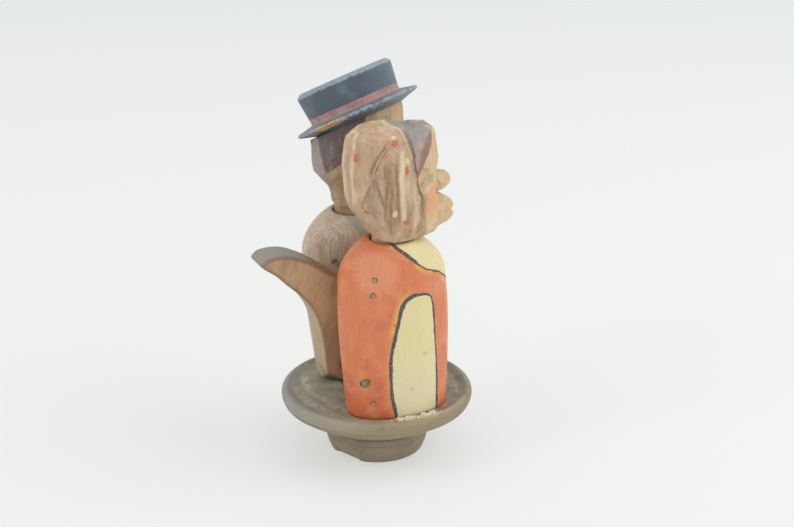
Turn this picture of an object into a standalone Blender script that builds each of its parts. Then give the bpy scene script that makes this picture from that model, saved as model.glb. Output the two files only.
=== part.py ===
# Carved wooden couple on a turned dish. Pressing the lever's horn turns both heads until the lips meet.
# World frame: origin at the centre of the foot's bottom, +Z up, both faces look along +X,
# the lever's horn points to -X, the woman stands on the -Y side and the man on the +Y side.

import math
import bmesh
import bpy
from mathutils import Matrix, Vector

MM = 0.001

# Clearances, millimetres
SEAT_GAP = 0.3            # between pieces that touch
RUNNING_GAP = 0.3         # round a turning pin or a moving edge
NAIL_GAP = 0.12           # round a driven nail or pin
OVERCUT = 2.0             # how far a cutter runs past what it cuts

# Turned dish and foot
FOOT_BOTTOM_RADIUS = 10.9
FOOT_TOP_RADIUS = 12.2
FOOT_EDGE_ROUND = 0.4
FOOT_HEIGHT = 6.4         # up to the middle of the groove under the dish
FOOT_GROOVE_DEPTH = 0.5
FOOT_GROOVE_HEIGHT = 0.8
BEAD_HEIGHT = 1.1
BEAD_RISE = 0.15
SCORE_HEIGHT = 0.3        # thin turned line under the bead
SCORE_DEPTH = 0.2
DISH_RADIUS = 22.5
DISH_FLOOR_RADIUS = 18.9
DISH_FLOOR_HEIGHT = 14.8
DISH_RIM_RISE = 0.8       # rim crest above the dish floor
DISH_RIM_THICKNESS = 3.1
DISH_RIM_ROUND = 0.9
DISH_RIM_FALL = 0.12      # from the rim's crest to its outer round
DISH_UNDERSIDE_SAG = 0.3
DISH_STEPS = 72

# The two bodies
BODY_SPACING = 22.3       # between the neck axes
WOMAN_BODY_HEIGHT = 41.8
MAN_BODY_HEIGHT = 41.1
BODY_BOTTOM_HALF_LENGTH = 12.2
BODY_HALF_LENGTH = 13.4
BODY_BOTTOM_HALF_WIDTH = 7.2
BODY_HALF_WIDTH = 7.5
WOMAN_BODY_BOTTOM_X = 0.3
MAN_BODY_BOTTOM_X = 1.8
BODY_BELLY_X = -0.95
SHOULDER_HEIGHT = 9.4
BODY_STEPS = 40

# Heads, necks and cranks
NECK_X = -1.2
NECK_RADIUS = 4.3
NECK_IN_SOCKET = 1.8
NECK_SOCKET_GAP = 0.45
PEG_RADIUS = 3.4
PEG_IN_HEAD = 8.4
PEG_BELOW_CRANK = 2.9
PEG_GROOVE_DEPTH = 0.8
HEAD_GAP = 0.8            # between the woman's shoulders and the head's underside
CRANK_HEIGHT = 31.1       # above the body's bottom
CRANK_RADIUS = 0.6
CRANK_REST_ANGLE = 30.0   # ahead of square, at rest
CRANK_REACH_IN_LEVER = 1.6
HEAD_TURN = 42.0          # until the lips meet

# Lever
LEVER_THICKNESS = 8.0
LEVER_EDGE_ROUND = 0.55
# The lever's edges: how far ahead of the pivot nail, and how far above it
LEVER_BACK = [(-0.9, -3.8), (-3.3, -2.5), (-4.7, -1.2), (-5.2, 4.1), (-6.1, 9.7), (-7.6, 14.1),
              (-10.6, 18.4), (-14.0, 21.7), (-16.4, 24.2), (-19.0, 26.1)]
LEVER_HORN = [(-20.1, 27.1), (-18.9, 28.4), (-17.2, 28.8), (-15.2, 28.9), (-12.7, 28.5),
              (-10.5, 27.6), (-8.0, 26.3), (-5.6, 24.7), (-3.3, 23.1), (-1.7, 22.4)]
LEVER_HEEL = [(2.3, -2.3), (0.9, -3.4)]
PIVOT_X = -9.3
PIVOT_HEIGHT = 8.8        # above the body's bottom
PIVOT_NAIL_RADIUS = 0.9
STOP_NAIL_X = -8.0
STOP_NAIL_HEIGHT = 30.6   # above the body's bottom
STOP_NAIL_RADIUS = 0.5
STOP_NOTCH_SPARE = 0.5    # under the stop nail
FORK_PRONG = 1.2          # wood beyond the pins' reach
FORK_FRONT_WALL = 2.5     # wood ahead of the pins' slot
FORK_CHAMFER = 1.2
# The arm's front edge: how far ahead of the fork's middle line, and how far along it
ARM_FRONT = [(3.5, 20.7), (2.2, 14.8), (1.6, 8.9), (1.7, 3.8), (2.5, 1.5)]

# Nails, brads and dowels
NAIL_RADIUS = 0.5
NECK_NAIL_X = -7.8
NECK_NAIL_HEIGHT = 34.3   # above the body's bottom
NECK_NAIL_LENGTH = 9.0
NAIL_LEAN = 24.0          # degrees from square, so that a nail meets the round peg's groove
FOOT_BRAD_X = -7.9
FOOT_BRAD_HEIGHT = 3.7    # above the body's bottom
FOOT_BRAD_LENGTH = 6.4
DOWEL_X = -4.0
DOWEL_RADIUS = 3.0
DOWEL_IN_DISH = 4.2
DOWEL_IN_BODY = 8.0

# Hat
HAT_CENTRE = Vector((0.6, 12.0, 79.1))       # middle of the brim's edge
HAT_LEAN_BACK = 16.6                         # degrees
HAT_LEAN_OUT = 23.3                          # degrees
BRIM_RADIUS = 15.0
BRIM_THICKNESS = 0.8
BRIM_DROOP = 1.6
CROWN_BASE_RADIUS = 10.9
CROWN_TOP_RADIUS = 11.65
CROWN_HEIGHT = 6.9
CROWN_CHAMFER = 0.9
HAT_BOSS_RADIUS = 10.4
HAT_BOSS_DEPTH = 1.7                         # below the brim's edge
HAT_DOWEL_RADIUS = 1.6
HAT_DOWEL_LENGTH = 7.0

# Worked out from the values above
BODY_BOTTOM = DISH_FLOOR_HEIGHT + SEAT_GAP
BODY_HEIGHTS = {-1: WOMAN_BODY_HEIGHT, 1: MAN_BODY_HEIGHT}
BODY_BOTTOM_XS = {-1: WOMAN_BODY_BOTTOM_X, 1: MAN_BODY_BOTTOM_X}
SIDE_Y = BODY_SPACING / 2
LEVER_FACE = LEVER_THICKNESS / 2
BODY_FLAT = LEVER_FACE + RUNNING_GAP
CRANK_Z = BODY_BOTTOM + CRANK_HEIGHT
PIVOT_Z = BODY_BOTTOM + PIVOT_HEIGHT
STOP_NAIL_Z = BODY_BOTTOM + STOP_NAIL_HEIGHT
NECK_NAIL_Z = BODY_BOTTOM + NECK_NAIL_HEIGHT
FOOT_BRAD_Z = BODY_BOTTOM + FOOT_BRAD_HEIGHT
HEAD_BOTTOM = BODY_BOTTOM + max(BODY_HEIGHTS.values()) + HEAD_GAP
PEG_BOTTOM = CRANK_Z - PEG_BELOW_CRANK
PEG_TOP = HEAD_BOTTOM + PEG_IN_HEAD

# The crank tips' middle lies this far inward from the neck axis, inside the lever's fork
CRANK_ARM = SIDE_Y - LEVER_FACE + CRANK_REACH_IN_LEVER / 2


def crank_x(head_turn):
    """Where the crank pin crosses the fork, for a head turned by so many degrees."""
    return NECK_X + CRANK_ARM * math.tan(math.radians(CRANK_REST_ANGLE - head_turn))


def fork_angle(head_turn):
    """The fork's lean ahead of upright, about the pivot nail, for that head turn."""
    return math.atan2(crank_x(head_turn) - PIVOT_X, CRANK_Z - PIVOT_Z)


LEVER_TURN = math.degrees(fork_angle(0.0) - fork_angle(HEAD_TURN))

PAINTS = {
    "dish_wood": ((0.262, 0.223, 0.184, 1.0), 0.62),
    "orange_paint": ((0.693, 0.184, 0.080, 1.0), 0.48),
    "brown_paint": ((0.429, 0.283, 0.205, 1.0), 0.5),
    "lever_wood": ((0.376, 0.223, 0.114, 1.0), 0.6),
    "scarf_paint": ((0.578, 0.402, 0.242, 1.0), 0.5),
    "skin_paint": ((0.533, 0.342, 0.156, 1.0), 0.5),
    "hat_paint": ((0.070, 0.095, 0.130, 1.0), 0.45),
    "dowel_wood": ((0.552, 0.391, 0.219, 1.0), 0.6),
}
NAIL_METAL = ("nail_steel", (0.30, 0.29, 0.26, 1.0), 0.45)


def clear_scene():
    for item in list(bpy.data.objects):
        bpy.data.objects.remove(item, do_unlink=True)


def make_material(name, colour, roughness, metallic=0.0):
    material = bpy.data.materials.new(name)
    material.use_nodes = True
    shader = material.node_tree.nodes["Principled BSDF"]
    shader.inputs["Base Color"].default_value = colour
    shader.inputs["Roughness"].default_value = roughness
    shader.inputs["Metallic"].default_value = metallic
    return material


def make_materials():
    made = {name: make_material(name, colour, rough) for name, (colour, rough) in PAINTS.items()}
    name, colour, rough = NAIL_METAL
    made[name] = make_material(name, colour, rough, 0.85)
    return made


def place(bm, name, material=None, origin=(0.0, 0.0, 0.0), smooth_under=None):
    """Turn a bmesh drawn in world millimetres into an object whose origin lies at origin."""
    bmesh.ops.recalc_face_normals(bm, faces=bm.faces)
    bmesh.ops.translate(bm, verts=bm.verts, vec=-Vector(origin))
    bmesh.ops.scale(bm, verts=bm.verts, vec=(MM, MM, MM))
    mesh = bpy.data.meshes.new(name)
    bm.to_mesh(mesh)
    bm.free()
    if smooth_under is not None:
        mesh.shade_smooth()
        mesh.set_sharp_from_angle(angle=math.radians(smooth_under))
    item = bpy.data.objects.new(name, mesh)
    item.location = Vector(origin) * MM
    bpy.context.collection.objects.link(item)
    if material is not None:
        mesh.materials.append(material)
    return item


def combine(item, other_bm, operation, name):
    """Add or cut another closed shape, drawn in world millimetres."""
    tool = place(other_bm, name)
    tool.hide_render = True
    tool.display_type = "WIRE"
    step = item.modifiers.new(name, "BOOLEAN")
    step.operation = operation
    step.solver = "EXACT"
    step.object = tool
    return item


def rod(start, end, radius, steps=16):
    """A plain round rod between two points."""
    start = Vector(start)
    along = Vector(end) - start
    bm = bmesh.new()
    bmesh.ops.create_cone(bm, cap_ends=True, segments=steps, radius1=radius, radius2=radius,
                          depth=along.length)
    turn = along.to_track_quat("Z", "Y").to_matrix().to_4x4()
    bmesh.ops.transform(bm, verts=bm.verts, matrix=Matrix.Translation(start + along / 2) @ turn)
    return bm


def turned(profile, steps, matrix=None):
    """A turned shape: profile is (radius, height) from the axis at the bottom round to the top."""
    bm = bmesh.new()
    rings = []
    for radius, height in profile:
        if radius < 1e-6:
            rings.append([bm.verts.new((0.0, 0.0, height))])
            continue
        ring = []
        for step in range(steps):
            angle = 2 * math.pi * step / steps
            ring.append(bm.verts.new((radius * math.cos(angle), radius * math.sin(angle), height)))
        rings.append(ring)
    for low, high in zip(rings, rings[1:]):
        for step in range(steps):
            corners = [low[step % len(low)], low[(step + 1) % len(low)],
                       high[(step + 1) % len(high)], high[step % len(high)]]
            bm.faces.new(list(dict.fromkeys(corners)))
    if matrix is not None:
        bmesh.ops.transform(bm, verts=bm.verts, matrix=matrix)
    return bm


def loft(rings):
    """A closed skin over rings of as many points each, from the bottom ring to the top one."""
    bm = bmesh.new()
    rows = [[bm.verts.new(point) for point in ring] for ring in rings]
    count = len(rows[0])
    for low, high in zip(rows, rows[1:]):
        for step in range(count):
            after = (step + 1) % count
            bm.faces.new((low[step], low[after], high[after], high[step]))
    bm.faces.new(rows[0][::-1])
    bm.faces.new(rows[-1])
    bmesh.ops.triangulate(bm, faces=bm.faces)
    return bm


def hull(points):
    """The wedge that a carver leaves between flat cuts: the convex skin of its corners."""
    bm = bmesh.new()
    for point in points:
        bm.verts.new(point)
    made = bmesh.ops.convex_hull(bm, input=bm.verts)
    bmesh.ops.delete(bm, geom=list(set(made["geom_interior"] + made["geom_unused"])), context="VERTS")
    return bm


def board(outline, half_thickness):
    """A board cut to an outline of (x, z) points, lying along Y."""
    bm = bmesh.new()
    face = bm.faces.new([bm.verts.new((x, -half_thickness, z)) for x, z in outline])
    raised = bmesh.ops.extrude_face_region(bm, geom=[face])["geom"]
    moved = [part for part in raised if isinstance(part, bmesh.types.BMVert)]
    bmesh.ops.translate(bm, verts=moved, vec=(0.0, 2 * half_thickness, 0.0))
    return bm


def block(low, high, matrix=None):
    bm = bmesh.new()
    bmesh.ops.create_cube(bm, size=1.0)
    low, high = Vector(low), Vector(high)
    bmesh.ops.scale(bm, verts=bm.verts, vec=high - low)
    bmesh.ops.translate(bm, verts=bm.verts, vec=(low + high) / 2)
    if matrix is not None:
        bmesh.ops.transform(bm, verts=bm.verts, matrix=matrix)
    return bm


def mix(start, end, share):
    return start + (end - start) * share


# Dish

def dish_profile():
    top = DISH_FLOOR_HEIGHT + DISH_RIM_RISE
    rim_middle = top - DISH_RIM_THICKNESS / 2
    crest = mix(DISH_FLOOR_RADIUS, DISH_RADIUS, 0.64)
    groove = FOOT_GROOVE_HEIGHT / 2
    bead_top = FOOT_HEIGHT - groove
    bead_bottom = bead_top - BEAD_HEIGHT
    score = bead_bottom - SCORE_HEIGHT
    profile = [(0.0, 0.0), (FOOT_BOTTOM_RADIUS - FOOT_EDGE_ROUND, 0.0)]
    profile += [(FOOT_BOTTOM_RADIUS, FOOT_EDGE_ROUND)]
    profile += [(mix(FOOT_BOTTOM_RADIUS, FOOT_TOP_RADIUS, 0.6), score / 2), (FOOT_TOP_RADIUS, score)]
    profile += [(FOOT_TOP_RADIUS - SCORE_DEPTH, mix(score, bead_bottom, 0.5))]
    profile += [(FOOT_TOP_RADIUS, bead_bottom)]
    profile += [(FOOT_TOP_RADIUS + BEAD_RISE, mix(bead_bottom, bead_top, 0.5))]
    profile += [(FOOT_TOP_RADIUS, bead_top), (FOOT_TOP_RADIUS - FOOT_GROOVE_DEPTH, FOOT_HEIGHT)]
    start_radius, start_height = FOOT_TOP_RADIUS + BEAD_RISE, FOOT_HEIGHT + groove
    profile.append((start_radius, start_height))
    under = top - DISH_RIM_THICKNESS
    for share in (0.33, 0.66, 0.94):
        radius = mix(start_radius, DISH_RADIUS, share)
        sag = DISH_UNDERSIDE_SAG * math.sin(math.pi * share)
        profile.append((radius, mix(start_height, under, share) - sag))
    for degrees in (-55, -25, 5, 35):
        turn = math.radians(degrees)
        radius = DISH_RADIUS - DISH_RIM_ROUND * (1.0 - math.cos(turn))
        profile.append((radius, rim_middle + DISH_RIM_THICKNESS / 2 * math.sin(turn)))
    profile += [(mix(crest, DISH_RADIUS, 0.45), top - DISH_RIM_FALL), (crest, top)]
    for share in (0.3, 0.65, 1.0):
        radius = mix(crest, DISH_FLOOR_RADIUS, share)
        profile.append((radius, top - DISH_RIM_RISE * math.sin(share * math.pi / 2)))
    profile.append((0.0, DISH_FLOOR_HEIGHT))
    return profile


def make_dish(materials):
    dish = place(turned(dish_profile(), DISH_STEPS), "base_dish", materials["dish_wood"],
                 smooth_under=32)
    for side in (-1, 1):
        hole = rod((DOWEL_X, side * SIDE_Y, DISH_FLOOR_HEIGHT - DOWEL_IN_DISH - SEAT_GAP),
                   (DOWEL_X, side * SIDE_Y, DISH_FLOOR_HEIGHT + OVERCUT), DOWEL_RADIUS + SEAT_GAP, 20)
        combine(dish, hole, "DIFFERENCE", "dish_dowel_hole")
    return dish


# Bodies

def body_top(side):
    return BODY_BOTTOM + BODY_HEIGHTS[side]


def body_section(side, height):
    """Half length, half width and middle x of the body's oval, at a height above its bottom."""
    straight = BODY_HEIGHTS[side] - SHOULDER_HEIGHT
    lift = min(height / straight, 1.0)
    bulge = math.sin(min(lift * 1.15, 1.0) * math.pi / 2)
    half_length = mix(BODY_BOTTOM_HALF_LENGTH, BODY_HALF_LENGTH, bulge)
    half_width = mix(BODY_BOTTOM_HALF_WIDTH, BODY_HALF_WIDTH, bulge)
    middle = mix(BODY_BOTTOM_XS[side], BODY_BELLY_X, lift)
    if lift > 0.75:
        half_length -= (lift - 0.75) * 2.0
    if height > straight:
        rise = (height - straight) / SHOULDER_HEIGHT
        roundness = max(1.0 - rise ** 2, 0.0) ** 0.8
        collar = NECK_RADIUS + NECK_SOCKET_GAP + 0.8
        half_length = mix(collar, half_length, roundness)
        half_width = mix(collar, half_width, max(1.0 - rise ** 3, 0.0))
        middle = mix(middle, NECK_X, rise)
    return half_length, half_width, middle


def body_rings(side):
    straight = BODY_HEIGHTS[side] - SHOULDER_HEIGHT
    heights = [0.0, 0.6] + [straight * share for share in (0.2, 0.4, 0.6, 0.8, 1.0)]
    heights += [straight + SHOULDER_HEIGHT * share for share in (0.2, 0.4, 0.57, 0.72, 0.84, 0.93, 1.0)]
    rings = []
    for height in heights:
        half_length, half_width, middle = body_section(side, height)
        if height == 0.0:
            half_length -= 0.4
            half_width -= 0.4
        ring = []
        for step in range(BODY_STEPS):
            angle = 2 * math.pi * (step + 0.5) / BODY_STEPS
            ring.append((middle + half_length * math.cos(angle),
                         side * SIDE_Y + half_width * math.sin(angle), BODY_BOTTOM + height))
        rings.append(ring)
    return rings


def surface_y(side, x, z):
    """Where the body's outer side lies, at that x and z."""
    half_length, half_width, middle = body_section(side, z - BODY_BOTTOM)
    share = max(1.0 - ((x - middle) / half_length) ** 2, 0.0)
    return side * (SIDE_Y + half_width * math.sqrt(share))


def leaning_nail(side, x, z, length, shrink=0.15):
    """Start and end of a nail driven square to the body's curved outer side."""
    lean = math.radians(NAIL_LEAN)
    inward = Vector((math.sin(lean), -side * math.cos(lean), 0.0))
    head = Vector((x, surface_y(side, x, z), z)) + inward * shrink
    return head, head + inward * length


def cross_nail(x, z, shrink=0.2):
    """Ends of a straight nail that runs through both bodies, along Y."""
    return (Vector((x, surface_y(-1, x, z) + shrink, z)),
            Vector((x, surface_y(1, x, z) - shrink, z)))


def make_body(side, name, material):
    body = place(loft(body_rings(side)), name, material, smooth_under=40)
    inner = side * BODY_FLAT
    outer = side * (SIDE_Y + BODY_HALF_WIDTH + 5.0)
    reach = BODY_HALF_LENGTH + 10.0
    flat = block((-reach, min(inner, -side * 30.0), -5.0), (reach, max(inner, -side * 30.0), 90.0))
    combine(body, flat, "DIFFERENCE", name + "_inner_flat")
    low = PEG_BOTTOM - SEAT_GAP
    step = body_top(side) - NECK_IN_SOCKET - RUNNING_GAP
    high = body_top(side) + 5.0
    narrow, wide = PEG_RADIUS + RUNNING_GAP, NECK_RADIUS + NECK_SOCKET_GAP
    socket = turned([(0.0, low), (narrow, low), (narrow, step), (wide, step), (wide, high),
                     (0.0, high)], 28, Matrix.Translation((NECK_X, side * SIDE_Y, 0.0)))
    combine(body, socket, "DIFFERENCE", name + "_neck_socket")
    combine(body, crank_window(side), "DIFFERENCE", name + "_crank_window")
    dowel = rod((DOWEL_X, side * SIDE_Y, BODY_BOTTOM - OVERCUT),
                (DOWEL_X, side * SIDE_Y, BODY_BOTTOM + DOWEL_IN_BODY + SEAT_GAP),
                DOWEL_RADIUS + SEAT_GAP, 20)
    combine(body, dowel, "DIFFERENCE", name + "_dowel_hole")
    for label, x, z, radius in (("pivot", PIVOT_X, PIVOT_Z, PIVOT_NAIL_RADIUS),
                                ("stop", STOP_NAIL_X, STOP_NAIL_Z, STOP_NAIL_RADIUS)):
        hole = rod((x, inner - side * OVERCUT, z), (x, outer, z), radius + NAIL_GAP, 16)
        combine(body, hole, "DIFFERENCE", name + "_" + label + "_hole")
    for label, x, z, length in (("neck_nail", NECK_NAIL_X, NECK_NAIL_Z, NECK_NAIL_LENGTH),
                                ("foot_brad", FOOT_BRAD_X, FOOT_BRAD_Z, FOOT_BRAD_LENGTH)):
        head, tip = leaning_nail(side, x, z, length)
        inward = (tip - head).normalized()
        hole = rod(head - inward * 4.0, tip + inward * SEAT_GAP, NAIL_RADIUS + NAIL_GAP, 12)
        combine(body, hole, "DIFFERENCE", name + "_" + label + "_hole")
    return body


def crank_window(side):
    """The opening in the inner flat that lets the crank pin swing."""
    arm = SIDE_Y - BODY_FLAT
    spare = CRANK_RADIUS + 2 * RUNNING_GAP + 0.3
    ahead = arm * math.tan(math.radians(CRANK_REST_ANGLE)) + spare
    behind = arm * math.tan(math.radians(HEAD_TURN - CRANK_REST_ANGLE)) + spare
    tall = CRANK_RADIUS + RUNNING_GAP
    low_y, high_y = sorted((side * (BODY_FLAT - 1.0), side * (SIDE_Y - PEG_RADIUS + 1.0)))
    return block((NECK_X - behind, low_y, CRANK_Z - tall), (NECK_X + ahead, high_y, CRANK_Z + tall))


# Necks, cranks, dowels and nails

def peg_profile():
    groove = NAIL_RADIUS + RUNNING_GAP + 0.1
    inner = PEG_RADIUS - PEG_GROOVE_DEPTH
    return [(0.0, PEG_BOTTOM), (PEG_RADIUS - 0.4, PEG_BOTTOM), (PEG_RADIUS, PEG_BOTTOM + 0.4),
            (PEG_RADIUS, NECK_NAIL_Z - groove), (inner, NECK_NAIL_Z - groove),
            (inner, NECK_NAIL_Z + groove), (PEG_RADIUS, NECK_NAIL_Z + groove),
            (PEG_RADIUS, PEG_TOP - 0.4), (PEG_RADIUS - 0.4, PEG_TOP), (0.0, PEG_TOP)]


def crank_direction(side):
    turn = math.radians(CRANK_REST_ANGLE)
    return Vector((math.sin(turn), -side * math.cos(turn), 0.0))


def make_peg(side, who, materials):
    axis = Vector((NECK_X, side * SIDE_Y, 0.0))
    peg = place(turned(peg_profile(), 28, Matrix.Translation(axis)), who + "_neck_peg",
                materials["dowel_wood"], axis, smooth_under=40)
    heading = crank_direction(side)
    middle = axis + Vector((0.0, 0.0, CRANK_Z))
    rear = middle - heading * (PEG_RADIUS - 1.2)
    reach = (SIDE_Y - LEVER_FACE + CRANK_REACH_IN_LEVER) / math.cos(math.radians(CRANK_REST_ANGLE))
    tip = middle + heading * reach
    hole = rod(rear - heading * SEAT_GAP, tip, CRANK_RADIUS + NAIL_GAP, 12)
    combine(peg, hole, "DIFFERENCE", who + "_crank_hole")
    place(rod(rear, tip, CRANK_RADIUS, 12), who + "_crank_pin", materials["nail_steel"], axis,
          smooth_under=40)


def make_small_parts(side, who, materials):
    steel = materials["nail_steel"]
    bottom = DISH_FLOOR_HEIGHT - DOWEL_IN_DISH
    dowel = place(rod((DOWEL_X, side * SIDE_Y, bottom),
                      (DOWEL_X, side * SIDE_Y, BODY_BOTTOM + DOWEL_IN_BODY), DOWEL_RADIUS, 20),
                  who + "_base_dowel", materials["dowel_wood"], smooth_under=40)
    head, tip = leaning_nail(side, FOOT_BRAD_X, FOOT_BRAD_Z, FOOT_BRAD_LENGTH)
    inward = (tip - head).normalized()
    hole = rod(head, tip + inward * SEAT_GAP, NAIL_RADIUS + NAIL_GAP, 12)
    combine(dowel, hole, "DIFFERENCE", who + "_brad_hole")
    place(rod(head, tip, NAIL_RADIUS, 12), who + "_foot_brad", steel, smooth_under=40)
    head, tip = leaning_nail(side, NECK_NAIL_X, NECK_NAIL_Z, NECK_NAIL_LENGTH)
    place(rod(head, tip, NAIL_RADIUS, 12), who + "_neck_nail", steel, smooth_under=40)


def make_cross_nails(materials):
    start, end = cross_nail(PIVOT_X, PIVOT_Z, shrink=0.9)
    place(rod(start, end, PIVOT_NAIL_RADIUS, 16), "lever_pivot_nail", materials["nail_steel"],
          smooth_under=40)
    start, end = cross_nail(STOP_NAIL_X, STOP_NAIL_Z)
    place(rod(start, end, STOP_NAIL_RADIUS, 16), "lever_stop_nail", materials["nail_steel"],
          smooth_under=40)


# Lever

def about_pivot(degrees, radius):
    """A point at that lean ahead of upright and that distance from the pivot nail."""
    turn = math.radians(degrees)
    return PIVOT_X + radius * math.sin(turn), PIVOT_Z + radius * math.cos(turn)


def along_fork(ahead, along):
    """A point ahead of the fork's middle line, and along it from the pivot nail."""
    turn = fork_angle(0.0)
    return (PIVOT_X + along * math.sin(turn) + ahead * math.cos(turn),
            PIVOT_Z + along * math.cos(turn) - ahead * math.sin(turn))


def fork_slot():
    """Half the width of the slot for the crank pins, and its floor and the fork's top."""
    lean = math.radians(CRANK_REST_ANGLE)
    slant = CRANK_REACH_IN_LEVER / 2 * math.tan(lean)
    half_slot = CRANK_RADIUS / math.cos(lean) + slant + RUNNING_GAP
    rise = CRANK_Z - PIVOT_Z
    floor = rise / math.cos(fork_angle(HEAD_TURN)) - CRANK_RADIUS - RUNNING_GAP
    top = rise / math.cos(fork_angle(0.0)) + CRANK_RADIUS + FORK_PRONG
    return half_slot, floor, top


def curve_through(points, steps=2):
    """A smooth line of more points that passes through the given ones."""
    ends = [points[0]] + points + [points[-1]]
    line = []
    for before, start, end, after in zip(ends, ends[1:], ends[2:], ends[3:]):
        for step in range(steps):
            share = step / steps
            line.append(tuple(
                0.5 * (2 * b + (c - a) * share + (2 * a - 5 * b + 4 * c - d) * share ** 2
                       + (3 * b - a - 3 * c + d) * share ** 3)
                for a, b, c, d in zip(before, start, end, after)))
    return line + [points[-1]]


def lever_outline():
    """The lever's side: heel, back, horn, the notch for the stop nail, and the fork's arm."""
    nail_x, nail_z = STOP_NAIL_X - PIVOT_X, STOP_NAIL_Z - PIVOT_Z
    nail_reach = math.hypot(nail_x, nail_z)
    nail_angle = math.degrees(math.atan2(nail_x, nail_z))
    half_nail = STOP_NAIL_RADIUS + RUNNING_GAP
    spare = math.degrees(half_nail / nail_reach)
    floor = nail_reach - half_nail - STOP_NOTCH_SPARE
    half_slot, _, top = fork_slot()
    fork_front = half_slot + FORK_FRONT_WALL
    rear_wall = nail_angle - spare
    front_wall = nail_angle + spare + LEVER_TURN
    edge = curve_through(LEVER_BACK) + curve_through(LEVER_HORN)
    outline = [(PIVOT_X + ahead, PIVOT_Z + above) for ahead, above in edge]
    outline.append(about_pivot(rear_wall, nail_reach + half_nail / 2))
    outline.append(about_pivot(rear_wall, floor + half_nail / 2))
    for share in (0.15, 0.5, 0.85):
        outline.append(about_pivot(mix(rear_wall, front_wall, share), floor))
    outline.append(about_pivot(front_wall, floor + half_nail / 2))
    outline.append(about_pivot(front_wall, top))
    outline.append(along_fork(fork_front - FORK_CHAMFER, top))
    outline.append(along_fork(fork_front, top - FORK_CHAMFER))
    outline += [along_fork(*point) for point in curve_through(ARM_FRONT)]
    outline += [(PIVOT_X + ahead, PIVOT_Z + above) for ahead, above in LEVER_HEEL]
    return outline


def make_lever(materials):
    bm = board(lever_outline(), LEVER_FACE)
    rims = [edge for edge in bm.edges
            if abs(edge.verts[0].co.y - edge.verts[1].co.y) < 1e-6 and edge.is_manifold]
    bmesh.ops.bevel(bm, geom=rims, offset=LEVER_EDGE_ROUND, segments=2, profile=0.5, affect="EDGES")
    lever = place(bm, "lever", materials["lever_wood"], (PIVOT_X, 0.0, PIVOT_Z), smooth_under=35)
    side = LEVER_FACE + OVERCUT
    hole = rod((PIVOT_X, -side, PIVOT_Z), (PIVOT_X, side, PIVOT_Z), PIVOT_NAIL_RADIUS + RUNNING_GAP, 20)
    combine(lever, hole, "DIFFERENCE", "lever_pivot_hole")
    half_slot, floor, top = fork_slot()
    spot = Matrix.Translation((PIVOT_X, 0.0, PIVOT_Z)) @ Matrix.Rotation(fork_angle(0.0), 4, "Y")
    slot = block((-half_slot, -side, floor), (half_slot, side, top + OVERCUT), spot)
    combine(lever, slot, "DIFFERENCE", "lever_fork_slot")
    return lever


# Heads

def head_ring(side, height, back, front, half_width, front_width, back_width):
    """Twelve corners of a carved section. back and front are distances from the neck axis."""
    half = [(front, front_width), (front * 0.66, mix(front_width, half_width, 0.62)),
            (front * 0.25, half_width), (-back * 0.35, half_width * 0.97),
            (-back * 0.8, mix(back_width, half_width, 0.5)), (-back, back_width)]
    ring = [(NECK_X + x, side * SIDE_Y + y, HEAD_BOTTOM + height) for x, y in half]
    ring += [(NECK_X + x, side * SIDE_Y - y, HEAD_BOTTOM + height) for x, y in reversed(half)]
    return ring


# Height above the head's underside, back, front, half width, half width in front, and at the back
WOMAN_FACE = [(0.0, 3.6, 9.4, 6.0, 3.2, 2.0), (1.4, 3.6, 11.2, 7.0, 2.2, 3.0),
              (5.4, 3.6, 10.0, 7.3, 3.2, 4.0), (10.4, 3.6, 9.8, 8.2, 3.6, 5.0),
              (14.4, 3.6, 9.6, 8.4, 3.5, 5.0), (17.4, 3.6, 10.3, 8.3, 3.2, 5.0),
              (21.4, 3.6, 9.8, 7.6, 3.2, 5.0), (23.5, 3.6, 9.5, 6.2, 3.0, 4.0),
              (24.7, 3.6, 9.1, 4.4, 2.4, 3.0)]
WOMAN_SCARF = [(0.0, 4.6, 4.4, 6.6, 5.6, 2.2), (2.4, 6.2, 4.3, 7.8, 7.0, 2.6),
               (6.4, 8.8, 3.6, 9.1, 8.3, 3.2), (9.0, 9.8, 3.2, 9.4, 8.7, 3.3),
               (12.4, 10.1, 2.9, 9.7, 9.0, 3.4), (16.4, 10.3, 2.8, 9.7, 9.0, 3.7),
               (20.4, 10.0, 2.8, 9.2, 8.6, 3.5), (23.6, 9.4, 2.6, 7.6, 7.2, 3.2),
               (24.6, 8.4, 2.5, 6.2, 5.8, 2.6), (25.8, 4.2, 1.9, 3.0, 2.6, 1.6)]
MAN_FACE = [(0.0, 4.1, 8.6, 4.4, 2.2, 2.2), (1.4, 4.3, 11.4, 5.6, 2.3, 2.2),
            (2.9, 4.9, 10.6, 6.4, 2.8, 2.2), (4.5, 5.8, 10.2, 7.2, 3.2, 2.3),
            (8.1, 8.7, 10.0, 8.3, 3.5, 2.5), (10.9, 9.1, 10.1, 8.6, 3.6, 3.0),
            (14.4, 9.0, 11.4, 8.8, 3.6, 3.0), (16.8, 9.1, 12.0, 8.8, 3.3, 3.0),
            (25.4, 8.4, 11.1, 8.4, 3.3, 3.0)]


def both_sides(side, points):
    """Each (x, half width, height) corner of a wedge, on both sides of the face's middle."""
    corners = []
    for x, half, height in points:
        corners.append((NECK_X + x, side * SIDE_Y + half, HEAD_BOTTOM + height))
        corners.append((NECK_X + x, side * SIDE_Y - half, HEAD_BOTTOM + height))
    return corners


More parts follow.
